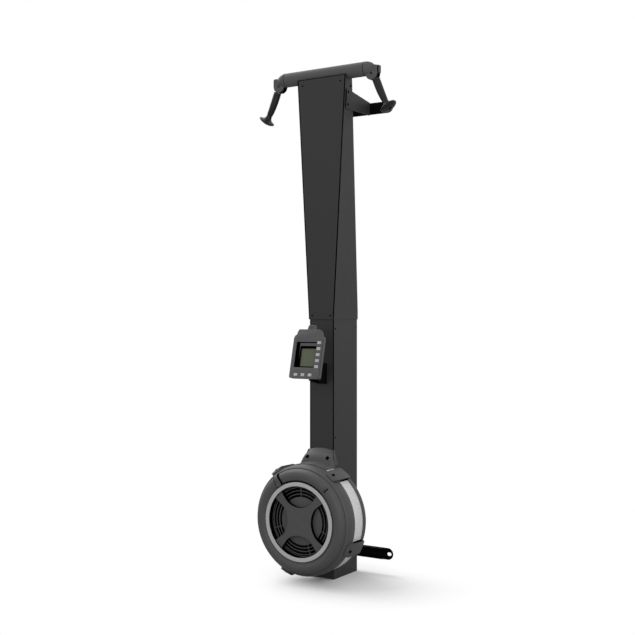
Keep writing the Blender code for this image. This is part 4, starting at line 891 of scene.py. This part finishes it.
def handle(side, word):
    """A curved grip: a collar, a long taper, a neck and a flared foot with a screw well below."""
    bore = CORD_RADIUS + 0.0016
    end = HANDLE_LENGTH
    flare = end - 0.014
    collar = [(bore, HANDLE_BORE), (bore, -0.0014), (GRIP_RADIUS - 0.0013, -0.0014),
              (GRIP_RADIUS - 0.0002, -0.0003), (GRIP_RADIUS - 0.0002, 0.0085), (GRIP_RADIUS - 0.0009, 0.0090),
              (GRIP_RADIUS - 0.0009, 0.0098), (GRIP_RADIUS, 0.0104)]
    taper = flowing([(GRIP_RADIUS, 0.0120), (GRIP_RADIUS - 0.0005, 0.050), (GRIP_RADIUS - 0.0026, 0.090),
                     (NECK_RADIUS, 0.104), (NECK_RADIUS + 0.002, 0.116), (NECK_RADIUS + 0.009, 0.1235),
                     (FLARE_RADIUS - 0.005, 0.1275), (FLARE_RADIUS - 0.0008, flare - 0.0006)], 7)
    foot = flowing([(FLARE_RADIUS, flare + 0.0006), (FLARE_RADIUS - 0.001, flare + 0.004),
                    (FLARE_RADIUS - 0.010, flare + 0.009), (FLARE_RADIUS - 0.022, flare + 0.0125),
                    (0.0084, end - 0.0002)], 6)
    well = [(0.0077, end - 0.0006), (0.0073, end - 0.007), (0.0, end - 0.007)]
    section = np.vstack([[(0.0, HANDLE_BORE)], collar, taper, foot, well])
    top = handle_top(side)
    axes = handle_axes(side)
    angles = np.linspace(0, 360, 72, endpoint=False)
    grip = surface(word + "_grip_body", bent(swept(section, angles, top, axes), side))
    place(grip, "grip_rubber", word + "_grip", word + "_handle")
    floor, under = bent(top + axes[2] * np.array([[end - 0.0068], [end]]), side)
    screws(word + "_grip_screw", [(floor, under - floor, 0.0066, 0.0012)], "grip_rubber", word + "_grip")


def end_cord(side, word):
    """The cord out of the bar, round the end pulley and into the handle.

    The route is the straight line to where it touches the pulley, the pulley's pitch circle, and
    the straight line down into the handle.
    """
    centre = np.array([HEAD_X, HEAD_Z])

    def touching(point, turn):
        away = np.array(point) - centre
        return math.atan2(away[1], away[0]) + turn * math.acos(PULLEY_PITCH / np.hypot(*away))

    inlet = np.array([NOSE_START, BAR_Z])
    top = np.array(HANDLE_TOP)
    inside = top + np.array([math.sin(SPLAY), -math.cos(SPLAY)]) * (HANDLE_BORE - 0.001)
    a = np.linspace(touching(inlet, -1), touching(top, 1), 26)
    wrap = centre + PULLEY_PITCH * np.stack([np.cos(a), np.sin(a)], 1)
    t = np.linspace(0, 1, 9)[:, None]
    first = (inlet + (wrap[0] - inlet) * t)[:-1]
    second = (wrap[-1] + (top - wrap[-1]) * t)[1:-1]
    last = top + (inside - top) * t
    route = np.vstack([first, wrap, second, last])
    points = np.stack([side * route[:, 0], np.full(len(route), BAR_Y), route[:, 1]], 1)
    cord = tube(word + "_pull_cord", points, CORD_RADIUS, 14, 0.12)
    cord.data.materials.append(FINISHES["cord"])
    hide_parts(word + "_end_cord")
    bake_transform(cord)


# Housing


def bulge():
    """The front shell's swelling from the ring out to the crease, as a section."""
    return flowing([(0.1652, RING_FACE - 0.0052), (0.1695, RING_FACE - 0.0022), (0.1780, 0.1845),
                    (0.1900, 0.1860), (0.2020, 0.1815), (0.2105, 0.1725), (0.2143, 0.1648)], 8)


def housing():
    """The two shells, the perforated band between them and the clips that bridge it."""
    seat = RING_FACE - 0.0048
    well = eased([(0.1472, 0.145), (0.1472, seat), (0.1631, seat)], 0.0006, closed=False)
    well = np.vstack([well, [(0.1631, seat - 0.0040), (0.1652, seat - 0.0040)]])
    crease = [(0.2147, 0.1632), (0.2151, 0.1596), (0.2167, 0.1592)]
    rim = flowing([(0.2175, 0.1606), (0.2215, 0.1568), (0.2265, 0.1490), (0.2287, 0.1390)], 6)
    inside = SHELL_RADIUS - SHELL_WALL
    edge = [(SHELL_RADIUS, 0.134), (SHELL_RADIUS, BAND_FRONT), (inside, BAND_FRONT)]
    edge = eased(edge, 0.0008, closed=False)
    section = np.vstack([well, bulge(), crease, rim, edge])
    steps = 192
    angle = (np.arange(steps) + 0.5) * 360 / steps
    middle = (section[1:] + section[:-1]) / 2
    in_slot = (middle[:, 0] > 0.1631) & (middle[:, 0] < 0.1695) & (middle[:, 1] > seat - 0.005)
    open_slot = in_slot[:, None] & ((angle > SLOT_ANGLES[0]) & (angle < SLOT_ANGLES[1]))[None]
    front = turned("front_shell_skin", section, steps=steps, keep=~open_slot)
    walled(front, 0.0026)
    place(front, "housing_plastic", "frame", "front_shell")

    outer = flowing([(0.190, 0.0004), (0.206, 0.005), (0.2240, 0.0160), (0.2288, 0.0270),
                     (SHELL_RADIUS, 0.0320)], 6)
    lip = [(SHELL_RADIUS, 0.040), (SHELL_RADIUS, BAND_BACK), (inside, BAND_BACK), (inside, 0.040)]
    inner = [(inside, 0.0320), (0.2215, 0.0185), (0.2045, 0.0083), (0.189, 0.0034), (0.012, 0.0034),
             (0.012, 0.0004)]
    section = np.vstack([outer, eased(lip, 0.0007, closed=False), inner])
    rear = turned("rear_shell_skin", section, steps=144, ring=True)
    place(rear, "housing_plastic", "frame", "rear_shell")
    perforated_band()
    for index, middle in enumerate(CLIP_ANGLES, 1):
        clip(index, middle)


def perforated_band():
    """The band between the shells, laid flat for its holes: the length round it, and the depth."""
    section = strip_section(BAND_RADIUS - 0.0025, BAND_RADIUS, BAND_BACK - 0.006, BAND_FRONT + 0.006)
    band = turned("perforated_band", eased(section, 0.0003), steps=144, ring=True)
    laid = band.data.uv_layers.new(name="UVMap")
    flat = np.empty(len(band.data.vertices) * 3)
    band.data.vertices.foreach_get("co", flat)
    corner = np.empty(len(band.data.loops), int)
    band.data.loops.foreach_get("vertex_index", corner)
    at = flat.reshape(-1, 3)[corner] - HUB
    # each face's corners are counted from its first, so that no face spans the seam
    turn = np.arctan2(at[:, 2], at[:, 0]).reshape(-1, 4)
    turn = turn[:, :1] + (turn - turn[:, :1] + math.pi) % (2 * math.pi) - math.pi
    laid.data.foreach_set("uv", np.stack([turn.ravel() * BAND_RADIUS, at[:, 1]], 1).ravel())
    place(band, "band_mesh", "frame", "mesh_band")


def clip(index, middle):
    """A clip over the rim: a tab with a screw on the sloping rim and a hollow bridge over the band."""
    top = CLIP_RADIUS
    # radius, distance ahead, half the width in degrees
    stations = np.array([
        (0.2300, 0.1500, 4.6), (0.2345, 0.1478, 5.2), (top - 0.0050, 0.1420, 6.2),
        (top - 0.0016, 0.1370, 6.7), (top, 0.1310, 7.0), (top, 0.0460, 7.0),
        (top - 0.0016, 0.0370, 6.8), (top - 0.0060, 0.0305, 6.4), (0.2340, 0.0284, 6.1),
        (0.2293, 0.0280, 6.0), (0.2293, 0.0410, 6.9), (0.2396, 0.0440, 7.0),
        (0.2356, 0.1070, 7.0), (0.2293, 0.1110, 7.0), (0.2293, 0.1340, 6.8), (0.2289, 0.1400, 6.2),
        (0.2275, 0.1480, 4.8),
    ])
    obj = sector(f"band_clip_{index}", stations[:, :2], middle, stations[:, 2], 8)
    place(bevelled(obj, 0.0009, 2, 50), "housing_plastic", "frame", f"clip_{index}")
    a = math.radians(middle)
    out = np.array([math.cos(a), 0, math.sin(a)])
    # painted shade: a near-black sector in the hollow under the bridge, where shadow falls
    hollow = [(0.2355, 0.1066), (0.2395, 0.0444), (0.2262, 0.0444), (0.2262, 0.1066)]
    near_black_and_painted_shade(sector(f"clip_painted_shade_{index}", hollow, middle, 7.08, 8), "bracket_paint", "frame")
    at = HUB - 0.1345 * Y + (top - 0.0010) * out
    screws(f"clip_screw_{index}", [(at, 0.88 * out - 0.47 * Y, 0.0066, 0.0012)], "housing_plastic", "frame")


def trim_and_hub():
    """The grey ring, and the four-armed cover with its plain badge and a near-black skirt painted as the
    shade on its openings' walls.
    """
    section = eased(strip_section(RING_INNER, RING_OUTER, RING_FACE - 0.0045, RING_FACE), 0.0011)
    place(turned("trim_ring_body", section, steps=192, ring=True), "ring_grey", "frame", "trim_ring")

    # the cover's edge: the disc's rim between four round openings whose middles lie at its axes
    reach, opening, offset = 0.1452, 0.092, 0.149
    meeting = (reach**2 + offset**2 - opening**2) / (2 * offset)
    rim = math.degrees(math.acos(meeting / reach))
    cut = math.degrees(math.atan2(reach * math.sin(math.radians(rim)), meeting - offset))
    outline = []
    circle = lambda degrees: np.stack([np.cos(np.radians(degrees)), np.sin(np.radians(degrees))], -1)
    for axis in (0.0, 90.0, 180.0, 270.0):
        hollow = circle(np.linspace(axis - cut + 360, axis + cut, 40))
        outline.append(offset * circle(axis) + opening * hollow)
        outline.append(reach * circle(np.linspace(axis + rim, axis + 90 - rim, 9)[1:-1]))
    outline = np.vstack(outline)
    # a shallow dish round the badge, then a gentle crown that falls to the rim
    dish = lambda r: 0.0010 * np.exp(-((r - 0.024) / 0.004) ** 2)
    rise = lambda r: 0.0022 * np.clip(1 - (r / 0.15) ** 2, 0, 1) - dish(r)
    at_hub = lambda p: p + HUB
    cover = moulded("hub_cover_arms", outline, -0.1740, -0.1705, 0.0017, rise, at_hub)
    place(cover, "housing_plastic", "frame", "hub_cover")
    # painted shade: a near-black wall under the cover's edge, seen through the openings as their shaded walls
    inset = outline_inset(outline, 0.0006)
    shaded_skirt = moulded("hub_cover_painted_shade", inset, -0.1708, -0.1562, 0.0004, place=at_hub)
    near_black_and_painted_shade(shaded_skirt, "bracket_paint", "frame")
    badge = flowing([(0.0, 0.1768), (0.010, 0.1767), (0.0185, 0.1763)], 4)
    badge = np.vstack([badge, [(0.0208, 0.1757), (0.0218, 0.1742), (0.0218, 0.1700), (0.0, 0.1700)]])
    place(turned("hub_badge", badge, steps=72), "housing_plastic", "frame")


def grille():
    """The grille: a middle disc, three thin rings, an outer ring, short ties, and a near-black wall round it
    as painted shade in the well.
    """
    disc = [(0, 0.1556), (0.060, 0.1552), (0.0965, 0.1540), (0.0988, 0.1530), (0.0990, 0.1508), (0, 0.1508)]
    parts = [
        turned("grille_disc", disc),
        turned("grille_post", peg_section(0.0120, 0.1554, 0.1662), steps=36),
        turned("grille_boss", peg_section(0.0117, 0.1392, 0.1510), steps=36),
    ]
    for radius, half in ((0.1105, 0.0018), (0.1243, 0.0018), (0.1377, 0.0016), (0.1446, 0.0013)):
        section = eased(strip_section(radius - half, radius + half, 0.1510, 0.1540), 0.0008)
        parts.append(turned(f"grille_ring_{radius}", section, steps=128, ring=True))
    section = eased(strip_section(0.0980, 0.1440, 0.1512, 0.1528), 0.0004)
    for angle in (92, 197, 287, 341):
        parts.append(sector(f"grille_tie_{angle}", section, angle, 0.8, 2))
    place(joined("grille_rings", parts), "housing_plastic", "frame", "air_grille")
    # painted shade: a near-black wall inside the ring, down to the grille
    wall = turned("well_painted_shade", strip_section(0.1464, 0.1469, 0.1505, 0.1762), steps=128, ring=True)
    near_black_and_painted_shade(wall, "bracket_paint", "frame")


def lever():
    """The damper's lever, a strip through the slot and over the bulge; painted shadow along its sides; its
    stop mark with painted shadow at its foot.
    """
    over = flowing([(0.1660, 0.1884), (0.1795, 0.1891), (0.1915, 0.1900), (0.2045, 0.1856),
                    (0.2140, 0.1755), (0.2203, 0.1626)], 5)
    under = flowing([(0.2168, 0.1614), (0.2118, 0.1725), (0.2028, 0.1825), (0.1904, 0.1869),
                     (0.1785, 0.1855), (0.1687, 0.1815)], 5)
    foot = [(0.1687, 0.1400), (0.1484, 0.1400), (0.1484, 0.1425), (0.1646, 0.1425), (0.1646, 0.1865)]
    # the strip's right side leans out to the left and its left side stays nearly straight
    radii = (0.1692, 0.1730, 0.190, 0.214)
    across = lambda section: np.interp(section[:, 0], radii, (0.0, -0.5, -0.9, 0.7))
    taper = lambda section: np.interp(section[:, 0], radii, (3.0, 4.2, 3.1, 2.1))
    section = np.vstack([over, under, foot])
    strip = sector("lever_strip", section, LEVER_ANGLE + across(section), taper(section), 12)
    place(bevelled(strip, 0.0009, 2, 50), "housing_plastic", "damper", "damper_lever")
    # painted shadow: a near-black foot under the strip, seen as a line along both its sides
    section = np.vstack([under[::-1] + 0.35 * (over - under[::-1]), under])
    dark = sector("lever_painted_shadow", section, LEVER_ANGLE - 0.5 + across(section), taper(section) + 1.8, 12)
    near_black_and_painted_shade(dark, "bracket_paint", "damper")
    # a low mark on the bulge where the travel ends; the lever passes over it
    r = np.linspace(0.1850, 0.2060, 14)
    line = np.column_stack([r, np.interp(r, *bulge().T)])
    low = line[::-1] - (0, 0.0010)
    mark = sector("lever_stop_mark", np.vstack([line + (0, 0.0006), low]), 47.5, 0.7, 4)
    place(mark, "housing_plastic", "frame")
    # painted shadow: a near-black foot a little wider than the mark
    foot = sector("lever_stop_painted_shadow", np.vstack([line + (0, 0.0003), low]), 46.9, 1.7, 6)
    near_black_and_painted_shade(foot, "bracket_paint", "frame")


def neck():
    """The cowl over the housing's top: at each height a folded band round the column's front.

    Its half width, its front and the depth of its sloping corners flow through eight heights. The
    corners are eased, and the top falls to both sides by the square of the distance from the middle.
    """
    wing = LOWER_HALF_WIDTH + 0.0033
    # height, half width, the front's distance ahead, the depth of the corner
    stations = flowing([
        (0.4400, wing + 0.0340, 0.0620, 0.016),
        (0.4760, wing + 0.0250, 0.0500, 0.014),
        (0.4940, wing + 0.0180, 0.0433, 0.012),
        (0.5120, wing + 0.0112, 0.0370, 0.010),
        (0.5244, wing + 0.0075, 0.0288, 0.009),
        (0.5367, wing + 0.0034, 0.0172, 0.007),
        (0.5460, wing + 0.0006, 0.0085, 0.005),
        (0.5505, wing, 0.0042, 0.0030),
    ], 6)
    rows = []
    for z, half, front, corner in stations:
        shoulder = front - corner
        back = min(0.0165, shoulder - 0.0008)
        plan = np.array([(-wing, back), (-half, shoulder), (corner * 0.6 - half, front)])
        ring = eased(np.vstack([plan, (plan * (-1, 1))[::-1]]), corner * 0.7, closed=False, steps=8)
        middle = len(ring) // 2
        straight = np.linspace(ring[middle - 1], ring[middle], 14)[1:-1]
        ring = np.vstack([ring[:middle], straight, ring[middle:]])
        fall = 0.010 * np.clip((z - 0.50) / 0.05, 0, 1) * (ring[:, 0] / half) ** 2
        rows.append(np.stack([ring[:, 0], FRONT_Y - ring[:, 1], z - fall], 1))
    cowl = surface("neck_cowl", np.stack(rows), (False, False))
    settled(walled(cowl, 0.003))
    carved(cowl, turned("housing_way", peg_section(SHELL_RADIUS + 0.0004, -0.2, 0.3), steps=192))
    section = eased(strip_section(0.2294, 0.2318, 0.0280, 0.1140), 0.0008)
    saddle = bevelled(sector("neck_saddle", section, 90.0, 22.5, 36), 0.0006, 2, 50)
    parts, painted_shadows = [cowl, saddle], []
    # a side plate hugs the column, and its back edge slants down to the rear; along it lies a near-black
    # strip, painted shadow in the gap
    plate = eased([(-0.0165, 0.4790), (0.0305, 0.4790), (0.0150, 0.5040), (0.0010, 0.5420),
                   (-0.0050, 0.5430), (-0.0165, 0.5340)], 0.0010)
    gap = [(-0.0160, 0.4800), (-0.0075, 0.4800), (-0.0065, 0.5400), (-0.0120, 0.5380)]
    beside = lambda p: np.stack([p[..., 1], FRONT_Y + p[..., 0], p[..., 2]], -1)
    for side in (-1, 1):
        x0, x1 = sorted((side * (wing - 0.0030), side * wing))
        parts.append(moulded(f"neck_side_{side}", plate, x0, x1, 0.0006, place=beside))
        painted_shadows.append(moulded(f"neck_painted_shadow_{side}", gap, x0 - 0.0002, x1 + 0.0002, 0.0001, place=beside))
    place(joined("neck_cover_body", parts), "housing_plastic", "frame", "neck_cover")
    near_black_and_painted_shade(joined("neck_painted_shadows", painted_shadows), "housing_plastic", "frame")
    heads = [((side * 0.0497, ahead(0.0356), 0.514), (0, -0.825, 0.565), 0.0080) for side in (-1, 1)]
    screws("neck_screws", heads, "housing_plastic", "frame")


# Monitor


def in_monitor(points):
    """From the monitor's own frame, x right, y the depth behind its face and z up, to the world."""
    cosine, sine = math.cos(MONITOR_TILT), math.sin(MONITOR_TILT)
    x, y, z = points[..., 0], points[..., 1], points[..., 2]
    back = ahead(MONITOR_AHEAD) + y * cosine + z * sine
    return np.stack([x, back, MONITOR_Z - y * sine + z * cosine], -1)


def case_outline(inset=0.0):
    """The monitor's outline: round below, stepped and chamfered above; its right half mirrored."""
    w, h = MONITOR_HALF[0] - inset, MONITOR_HALF[1] - inset
    a = np.radians(np.linspace(-90, 0, 6))
    right = np.stack([w - 0.008 + 0.008 * np.cos(a), 0.008 - h + 0.008 * np.sin(a)], 1)
    upper = eased([(w, h - 0.060), (w, h - 0.0375), (w - 0.005, h - 0.0265), (w - 0.0135, h - 0.0215),
                   (w - 0.0145, h - 0.0120), (w - 0.0215, h), (0.01, h)], 0.0022, closed=False, steps=3)
    half = np.vstack([right, upper[:-1]])
    return np.vstack([half, (half * (-1, 1))[::-1]])


def window_loop(grow, radius):
    """The window's outline; grow moves its left, lower, right and upper side outwards."""
    sides = np.array(WINDOW) + np.array(grow) * (-1, -1, 1, 1)
    return eased(rectangle(*sides), radius, steps=3)


def button_outline(x, z, width, height, radius):
    """A rounded rectangle about a button's middle, from half its width and height."""
    return eased(rectangle(x - width, z - height, x + width, z + height), radius, steps=3)


def button_places():
    """Each button's node, body and middle on the monitor's face."""
    places = [(f"side_button_{i + 1}", f"side_key_{i + 1}", 0.0558, 0.0475 - 0.0251 * i) for i in range(5)]
    places += [(f"row_button_{i + 1}", f"row_key_{i + 1}", -0.0410 + 0.035 * i, -0.088) for i in range(3)]
    return places


def monitor_plate(name, outline, hole, front, back, edge=0.0001):
    """A flat frame in the monitor, between two depths behind its face."""
    return sheet_plate(name, [outline, hole], front, back, edge, in_monitor)


def monitor():
    """The monitor: front case with its window and key holes, near-black walls painted as shade, display, back
    case, keys.
    """
    loops = [case_outline(), window_loop(0, 0.002)]
    loops += [button_outline(x, z, 0.0091, 0.0064, 0.0014) for _, _, x, z in button_places()]
    front = sheet_plate("monitor_front", loops, 0.0, 0.0018, 0.0005, in_monitor)
    sides = monitor_plate("monitor_front_sides", case_outline(0.0004), case_outline(0.0040), 0.0058, 0.0140,
                          0.0006)
    place(joined("monitor_front_body", [front, sides]), "monitor_case", "monitor", "monitor_front_case")

    # the window's two steps: near-black walls round a grey ledge, then near-black walls down to the display,
    # painted shade in the recess
    left, low, right, high = WINDOW
    slanted = [(left + 0.0188, low + 0.0004), (right - 0.0004, low + 0.0004),
               (right - 0.0004, high - 0.0031), (left + 0.0138, high - 0.0031)]
    window_hole = window_loop(-0.0003, 0.0018)
    ledge_hole = window_loop((-0.0220, -0.0060, -0.0003, -0.0254), 0.0012)
    steps = [
        monitor_plate("window_wall", window_loop(0.0008, 0.0020), window_hole, 0.0008, 0.0070),
        monitor_plate("wall_foot", window_loop(0.0007, 0.0018), eased(slanted, 0.0016), 0.0060, 0.0066),
        monitor_plate("ledge_wall", window_loop(0.0006, 0.0015), ledge_hole, 0.0078, 0.0119),
        monitor_plate("front_groove", case_outline(0.0016), case_outline(0.0050), 0.0014, 0.0062),
    ]
    near_black_and_painted_shade(joined("window_painted_shade", steps), "monitor_case", "monitor")
    opening = window_loop((-0.0168, -0.0002, -0.0002, -0.0157), 0.0012)
    ledge = monitor_plate("display_frame", window_loop(0.0007, 0.0015), opening, 0.0068, 0.0076, 0.0002)
    place(ledge, "monitor_case", "monitor")
    pane = moulded("display_pane", window_loop(0.0005, 0.001), 0.0122, 0.0148, 0.0004, place=in_monitor)
    place(pane, "display_glass", "monitor", "display")

    back = moulded("monitor_back", case_outline(0.0015), 0.0146, 0.0260, 0.0026, place=in_monitor)
    tab = eased([(-0.0225, 0.0985), (0.0225, 0.0985), (0.0170, 0.1250), (-0.0170, 0.1250)], 0.0040)
    tab = moulded("monitor_tab", tab, 0.0150, 0.0262, 0.0018, place=in_monitor)
    pocket = button_outline(0.0, 0.1140, 0.0100, 0.0050, 0.0015)
    carved(tab, moulded("tab_way", pocket, 0.0120, 0.0165, 0.0005, place=in_monitor))
    a = np.radians(np.linspace(70, -70, 18))
    lug = np.stack([0.042 + 0.009 * np.cos(a), -0.045 + 0.009 * np.sin(a)], 1)
    lug = np.vstack([lug, [(0.0250, -0.054), (0.0250, -0.036)]])
    sideways = lambda p: in_monitor(np.stack([p[..., 1], p[..., 0], p[..., 2]], -1))
    lug = moulded("monitor_lug", lug, -0.020, 0.020, 0.0010, place=sideways)
    seam = moulded("monitor_seam", case_outline(0.0030), 0.0130, 0.0162, 0.0004, place=in_monitor)
    near_black_and_painted_shade(seam, "monitor_case", "monitor")
    place(joined("monitor_back_body", [back, tab, lug]), "monitor_case", "monitor", "monitor_back_case")
    for node, body, x, z in button_places():
        outline = button_outline(x, z, 0.00875, 0.0061, 0.0013)
        key = moulded(node + "_key", outline, -0.0015, 0.0040, 0.0008, place=in_monitor)
        place(key, "button_grey", body, node)


# Everything else in the frame


def remaining():
    """Give each CAD piece that stays its finish, by its slot in the record."""
    slots = {part["node"]: part["material_slot"] for part in frame["record"]["subparts"]}
    for node, obj in frame["nodes"].items():
        obj.data.materials.clear()
        obj.data.materials.append(FINISHES[slots[node]])


# Floor, light and camera


def backdrop():
    """A pale floor that fades to the white background away from the machine's shadow."""
    size = 14.0
    mesh = bpy.data.meshes.new("floor")
    mesh.from_pydata([(x, z, 0) for x, z in rectangle(-size, -size, size, size)], [], [(0, 1, 2, 3)])
    floor = bpy.data.objects.new("floor", mesh)
    SCENE.collection.objects.link(floor)
    finish = Finish("pale_floor", 0.9, 0.0)
    seen = finish.node("ShaderNodeLightPath", output="Is Camera Ray")
    finish.into("Base Color", finish.mixed(seen, (0.45, 0.45, 0.45), (0.94, 0.94, 0.94)))
    spot = finish.node("ShaderNodeTexCoord", output="Object")
    centred = finish.node("ShaderNodeMapping", values={"Vector": spot, "Location": (-0.15, 0.0, 0.0)})
    distance = finish.node("ShaderNodeVectorMath", {"operation": "LENGTH"}, {0: centred}, output="Value")
    fade = (distance - 0.20) * 3.2
    fade = finish.node("ShaderNodeClamp", values={0: fade, 1: 0.0, 2: 1.0})
    glow = finish.node("ShaderNodeEmission", values={"Color": (1, 1, 1, 1), "Strength": 1.0})
    lit = Value(finish, finish.shader.outputs[0])
    mix = finish.node("ShaderNodeMixShader", values={0: seen * fade, 1: lit, 2: glow})
    finish.feed(finish.tree.nodes["Material Output"].inputs[0], mix)
    mesh.materials.append(finish.material)


def world():
    """White to the camera and in reflections; a plain even light on everything else."""
    studio = bpy.data.worlds.new("studio")
    SCENE.world = studio
    studio.use_nodes = True
    nodes = Nodes(studio.node_tree)
    nodes.tree.nodes.remove(nodes.tree.nodes["Background"])
    plain, white = (
        nodes.node("ShaderNodeBackground", values={"Color": (1, 1, 1, 1), "Strength": strength})
        for strength in (WORLD_LIGHT, 1.0)
    )
    kinds = ("Camera", "Glossy", "Transmission")
    camera_ray, glossy_ray, transmission_ray = (
        nodes.node("ShaderNodeLightPath", output=f"Is {kind} Ray") for kind in kinds
    )
    direct = camera_ray.maths("MAXIMUM", glossy_ray).maths("MAXIMUM", transmission_ray)
    mix = nodes.node("ShaderNodeMixShader", values={0: direct, 1: plain, 2: white})
    nodes.feed(nodes.tree.nodes["World Output"].inputs[0], mix)


def lamp(name, at, towards, size, power):
    """A square soft light that looks from one point to another."""
    data = bpy.data.lights.new(name, "AREA")
    data.size = size
    data.energy = power
    obj = bpy.data.objects.new(name, data)
    direction = np.array(towards, float) - np.array(at, float)
    obj.matrix_world = Matrix.Translation(at) @ look(direction)
    SCENE.collection.objects.link(obj)


def look(direction):
    """The turn that points local -Z along a direction."""
    back = -np.array(direction) / np.linalg.norm(direction)
    side = np.cross(Z, back)
    side = side / np.linalg.norm(side) if np.linalg.norm(side) > 1e-6 else X
    up = np.cross(back, side)
    return Matrix(np.column_stack([side, up, back]).tolist()).to_4x4()


def camera():
    """The photograph's view: level, and turned to the machine's right."""
    data = bpy.data.cameras.new("camera")
    data.lens = CAMERA_LENS
    data.sensor_width = 36.0
    data.clip_end = 100.0
    obj = bpy.data.objects.new("camera", data)
    obj.location = CAMERA_AT
    obj.rotation_euler = (math.pi / 2, 0, CAMERA_TURN)
    SCENE.collection.objects.link(obj)
    SCENE.camera = obj


def build():
    """Make the camera and light, then every piece."""
    SCENE.view_settings.view_transform = "Standard"
    camera()
    world()
    backdrop()
    lamp("left_key", (-2.3, 0.6, 3.7), (0.0, -0.1, 0.5), 2.4, 88.0)
    lamp("right_fill", (3.4, -3.0, 1.9), (0.0, 0.0, 0.9), 2.6, 58.0)
    remaining()
    column()
    lower_bracket()
    crossbar()
    for side, word in ((-1, "left"), (1, "right")):
        cord_head(side, word)
        handle(side, word)
        end_cord(side, word)
    housing()
    trim_and_hub()
    grille()
    lever()
    neck()
    monitor()


build()
